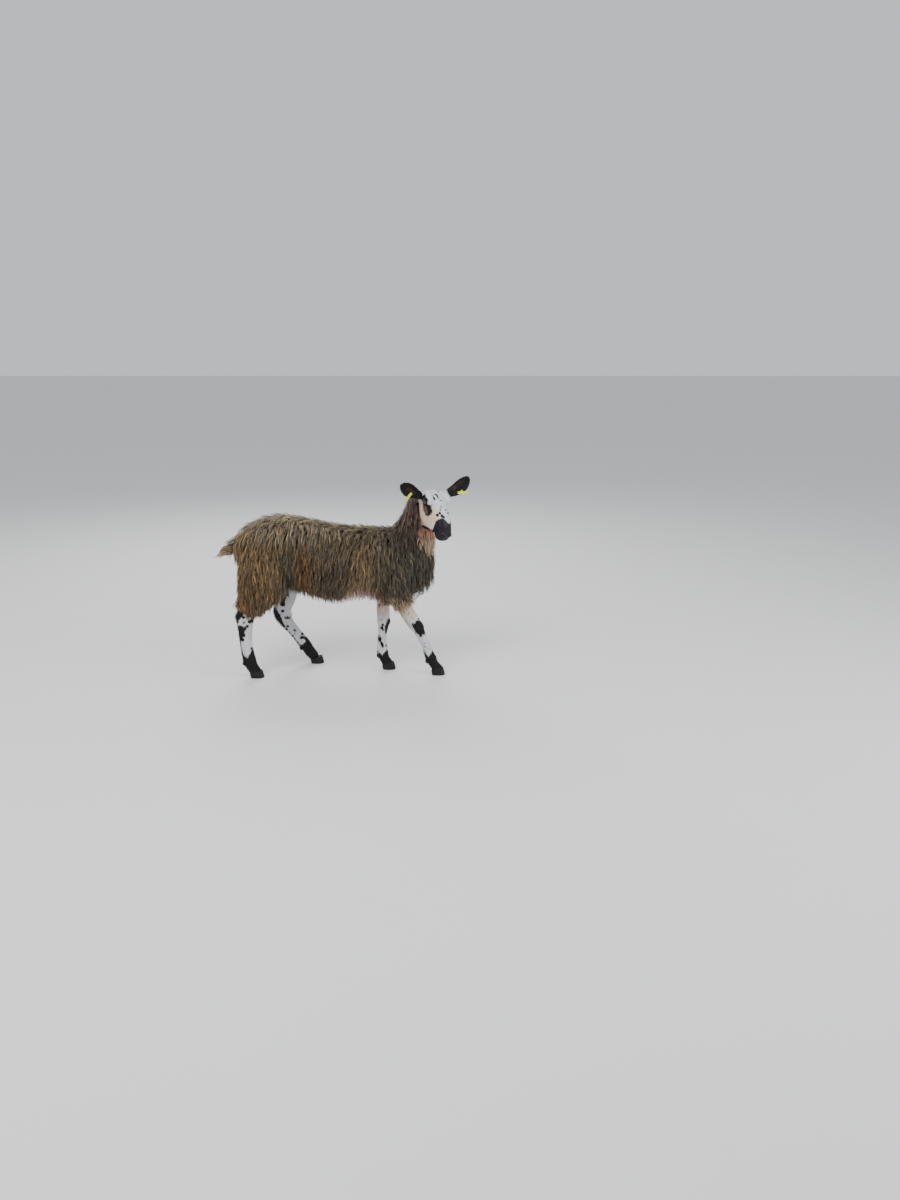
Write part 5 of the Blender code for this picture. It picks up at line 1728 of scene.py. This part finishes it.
def tag_mesh(way):
    """A strap tag near the ear's lower edge: a bar in front, a plate behind and a stud between."""
    _, _, across, cup = ear_frame(way)
    share, side = TAG_PLACE[way]
    stud_place = ear_point(way, share, -way * side)
    long_way = (TAG_LONG_WAY[way] - cup * TAG_LONG_WAY[way].dot(cup)).normalized()
    turn = Matrix((long_way, cup.cross(long_way), cup)).transposed()
    builder = bmesh.new()
    middle = stud_place + across * -way * 0.009 + cup * TAG_LIFT
    bar = bmesh.ops.create_cube(builder, size=1.0)["verts"]
    for vertex in bar:
        vertex.co = middle + turn @ Vector([s * c for s, c in zip(TAG_BAR, vertex.co)])
    edges = list({e for v in bar for e in v.link_edges})
    bmesh.ops.bevel(builder, geom=edges, offset=0.0007, segments=3, affect="EDGES")
    # Plate, both ends of the stud and the stud: segments, radii, depth, how far out and on which side
    for segments, low, high, depth, lift, face in (
        (40, 0.0085, 0.0079, 0.0018, TAG_LIFT, -1),
        (28, 0.0046, 0.0038, 0.0018, TAG_LIFT + 0.0012, 1),
        (28, 0.0046, 0.0038, 0.0018, TAG_LIFT + 0.0012, -1),
        (20, 0.0026, 0.0026, 2 * TAG_LIFT + 0.001, 0.0, 1),
    ):
        made = bmesh.ops.create_cone(
            builder, cap_ends=True, segments=segments, radius1=low, radius2=high, depth=depth
        )["verts"]
        for vertex in made:
            x, y, z = vertex.co
            vertex.co = stud_place + turn @ Vector((x, y, face * (z + lift)))
    return placed_mesh("tag", builder)


def settings_of(context, name):
    """The scene's settings for one group of pieces."""
    return getattr(context.scene, "sheep_" + name)


def skin_surface():
    """The finished skin, moved back to the tables' axes, as something to grow a coat on."""
    mesh = bpy.data.objects["ewe_skin"].data.copy()
    mesh.transform(Matrix.Translation(-SHIFT))
    surface = Surface(mesh)
    bpy.data.meshes.remove(mesh)
    return surface


class SHEEP_OT_skin(bpy.types.Operator):
    """Draws the skin over head, neck, trunk, tail and legs, with its markings"""

    bl_idname = "sheep.skin"
    bl_label = "Skin"

    def execute(self, context):
        settings = settings_of(context, "skin")
        mesh = shape_face(skin_mesh(settings))
        places = corners_of(mesh)
        add_attribute(mesh, "root_place", places, "FLOAT_VECTOR")
        add_attribute(mesh, "wool", wool_field(places) * (1 - throat_field(places)))
        for name, values in hair_fields(places).items():
            add_attribute(mesh, name, values)
        flesh = ["torso", "neck", "tail", "thigh_right", "thigh_left", "head", "ear_right", "ear_left"]
        flesh += ["foreleg_right", "foreleg_left", "hindleg_right", "hindleg_left"]
        finish = skin_finish(settings, settings_of(context, "wool"))
        place_piece(mesh, "ewe_skin", finish, flesh)
        return {"FINISHED"}


class SHEEP_OT_eyes(bpy.types.Operator):
    """Makes both eyes and the dark rims round them"""

    bl_idname = "sheep.eyes"
    bl_label = "Eyes"

    def execute(self, context):
        ball, rim = eye_finish(settings_of(context, "eyes")), lid_finish()
        for way, side in ((-1, "right"), (1, "left")):
            place_piece(eye_mesh(way), "eyeball_" + side, ball, ["eye_" + side])
            place_piece(lid_mesh(way), "eyelid_" + side, rim)
        return {"FINISHED"}


class SHEEP_OT_claws(bpy.types.Operator):
    """Makes two claws and two dewclaws for each foot"""

    bl_idname = "sheep.claws"
    bl_label = "Claws"

    def execute(self, context):
        horn = horn_finish(settings_of(context, "horn"))
        for foot in FEET:
            left = foot.endswith("left")
            for way, place in ((1 if left else -1, "outer"), (-1 if left else 1, "inner")):
                name = f"{foot}_{place}"
                place_piece(claw_mesh(foot, way), "horn_" + name, horn, ["claw_" + name])
                place_piece(dewclaw_mesh(foot, way), "dewclaw_" + name, horn)
        return {"FINISHED"}


class SHEEP_OT_tags(bpy.types.Operator):
    """Makes a plain strap tag for each ear"""

    bl_idname = "sheep.tags"
    bl_label = "Ear Tags"

    def execute(self, context):
        plastic = tag_finish(settings_of(context, "tags"))
        for way, side in ((-1, "right"), (1, "left")):
            place_piece(tag_mesh(way), "strap_tag_" + side, plastic, ["tag_" + side], False)
        return {"FINISHED"}


class SHEEP_OT_fleece(bpy.types.Operator):
    """Grows the long wool in locks of wavy strands"""

    bl_idname = "sheep.fleece"
    bl_label = "Fleece"

    def execute(self, context):
        settings = settings_of(context, "wool")
        rng = np.random.default_rng(WOOL_SEED)
        points, facings, widths, roots, tones = grow_wool(skin_surface(), settings, rng)
        colours = np.ones((len(roots), 4))
        colours[:, :3] = np.clip(wool_colours(roots, rng) * tones[:, None], 0, 1)
        finish = wool_finish(settings)
        parts = wool_part(roots)
        for part in sorted(set(parts)):
            here = parts == part
            soft = np.clip(throat_field(roots[here]) + (colours[here, 2] > 0.13), 0, 1)
            fields = {"wool_colour": (colours[here], "FLOAT_COLOR"), "pale_root": (soft, "FLOAT")}
            name = "wool_" + part
            tufts = (points[here], facings[here], widths[here], WOOL_PROFILE, 0.9, roots[here])
            place_piece(tuft_mesh(name, *tufts, fields), name, finish)
        return {"FINISHED"}


class SHEEP_OT_hair(bpy.types.Operator):
    """Grows the short hair of face, ears, throat and legs"""

    bl_idname = "sheep.hair"
    bl_label = "Short Hair"

    def execute(self, context):
        settings = settings_of(context, "skin")
        rng = np.random.default_rng(HAIR_SEED)
        points, facings, roots = grow_hair(skin_surface(), settings, rng)
        finish = hair_finish(settings)
        on_head = near_head(roots, HEAD_HAIR_REACH)
        values = hair_fields(roots)
        values["tint"] = rng.uniform(0.0, 0.5, len(roots))
        widths = np.where(on_head, 0.0015, 0.0019) * rng.uniform(0.75, 1.3, len(roots))
        for name, here in (("hair_head", on_head), ("hair_legs", ~on_head)):
            fields = {key: (value[here], "FLOAT") for key, value in values.items()}
            tufts = (points[here], facings[here], widths[here], HAIR_PROFILE, 0.7, roots[here])
            place_piece(tuft_mesh(name, *tufts, fields), name, finish)
        return {"FINISHED"}


# Area lights: name, place and share of the main light's strength
LAMPS = (
    ("main", (-1.6, -3.2, 4.2), 1.0),
    ("side", (3.6, -1.8, 2.4), 0.42),
    ("back", (-0.8, 3.4, 3.6), 0.6),
)
LAMP_SIZE, LAMP_TARGET = 2.6, Vector((0.0, 0.0, 0.5))
SKY_COLOUR, SKY_STRENGTH = (0.93, 0.95, 1.0, 1.0), 0.76
FLOOR_SIZE = 60.0
CAMERA_PLACE, CAMERA_TILT = Vector((0.5, -4.34, 1.5)), 75.2
CAMERA_LENS, SENSOR_WIDTH = 28.08, 36.0


class SHEEP_OT_stage(bpy.types.Operator):
    """Lays a pale floor and sets the lights and the camera"""

    bl_idname = "sheep.stage"
    bl_label = "Stage"

    def execute(self, context):
        settings = settings_of(context, "stage")
        builder = bmesh.new()
        bmesh.ops.create_grid(builder, x_segments=8, y_segments=8, size=FLOOR_SIZE)
        floor = bpy.data.objects.new("floor", mesh_of("floor", builder))
        finish = Finish("floor", Roughness=0.8)
        shade = finish.noise(finish.node("ShaderNodeTexCoord", {}, {}, "Object"), 3.0)
        finish.feed("Base Color", finish.mix(shade, settings.floor, [0.97 * c for c in settings.floor]))
        floor.data.materials.append(finish.material)
        context.scene.collection.objects.link(floor)
        world = bpy.data.worlds.new("studio")
        world.use_nodes = True
        background = world.node_tree.nodes["Background"]
        background.inputs["Color"].default_value = SKY_COLOUR
        background.inputs["Strength"].default_value = SKY_STRENGTH
        context.scene.world = world
        for name, place, share in LAMPS:
            lamp = bpy.data.lights.new(name, "AREA")
            lamp.energy = settings.light * share
            lamp.size = LAMP_SIZE
            light = bpy.data.objects.new(name, lamp)
            light.location = place
            light.rotation_euler = (LAMP_TARGET - light.location).to_track_quat("-Z", "Y").to_euler()
            context.scene.collection.objects.link(light)
        camera_data = bpy.data.cameras.new("camera")
        camera_data.lens = CAMERA_LENS
        camera_data.sensor_width = SENSOR_WIDTH
        camera = bpy.data.objects.new("camera", camera_data)
        camera.location = CAMERA_PLACE + SHIFT
        camera.rotation_euler = (math.radians(CAMERA_TILT), 0, 0)
        context.scene.collection.objects.link(camera)
        context.scene.camera = camera
        return {"FINISHED"}


OPERATORS = (
    SHEEP_OT_skin,
    SHEEP_OT_eyes,
    SHEEP_OT_claws,
    SHEEP_OT_tags,
    SHEEP_OT_fleece,
    SHEEP_OT_hair,
    SHEEP_OT_stage,
)
SETTINGS = {
    "skin": SkinSettings,
    "wool": WoolSettings,
    "eyes": EyeSettings,
    "horn": HornSettings,
    "tags": TagSettings,
    "stage": StageSettings,
}


class SHEEP_PT_panel(bpy.types.Panel):
    """Settings and steps of the ewe"""

    bl_idname = "SHEEP_PT_panel"
    bl_label = "Long-Woolled Ewe"
    bl_space_type = "VIEW_3D"
    bl_region_type = "UI"
    bl_category = "Ewe"

    def draw(self, context):
        for name, group in SETTINGS.items():
            box = self.layout.box()
            box.label(text=group.__doc__)
            for prop in group.__annotations__:
                box.prop(settings_of(context, name), prop)
        for operator in OPERATORS:
            self.layout.operator(operator.bl_idname)


CLASSES = (*SETTINGS.values(), *OPERATORS, SHEEP_PT_panel)


def register():
    for cls in CLASSES:
        bpy.utils.register_class(cls)
    for name, group in SETTINGS.items():
        setattr(bpy.types.Scene, "sheep_" + name, bpy.props.PointerProperty(type=group))


def unregister():
    for name in SETTINGS:
        delattr(bpy.types.Scene, "sheep_" + name)
    for cls in reversed(CLASSES):
        bpy.utils.unregister_class(cls)


def main():
    register()
    bpy.ops.sheep.skin()
    bpy.ops.sheep.eyes()
    bpy.ops.sheep.claws()
    bpy.ops.sheep.tags()
    bpy.ops.sheep.fleece()
    bpy.ops.sheep.hair()
    bpy.ops.sheep.stage()


if __name__ == "__main__":
    main()
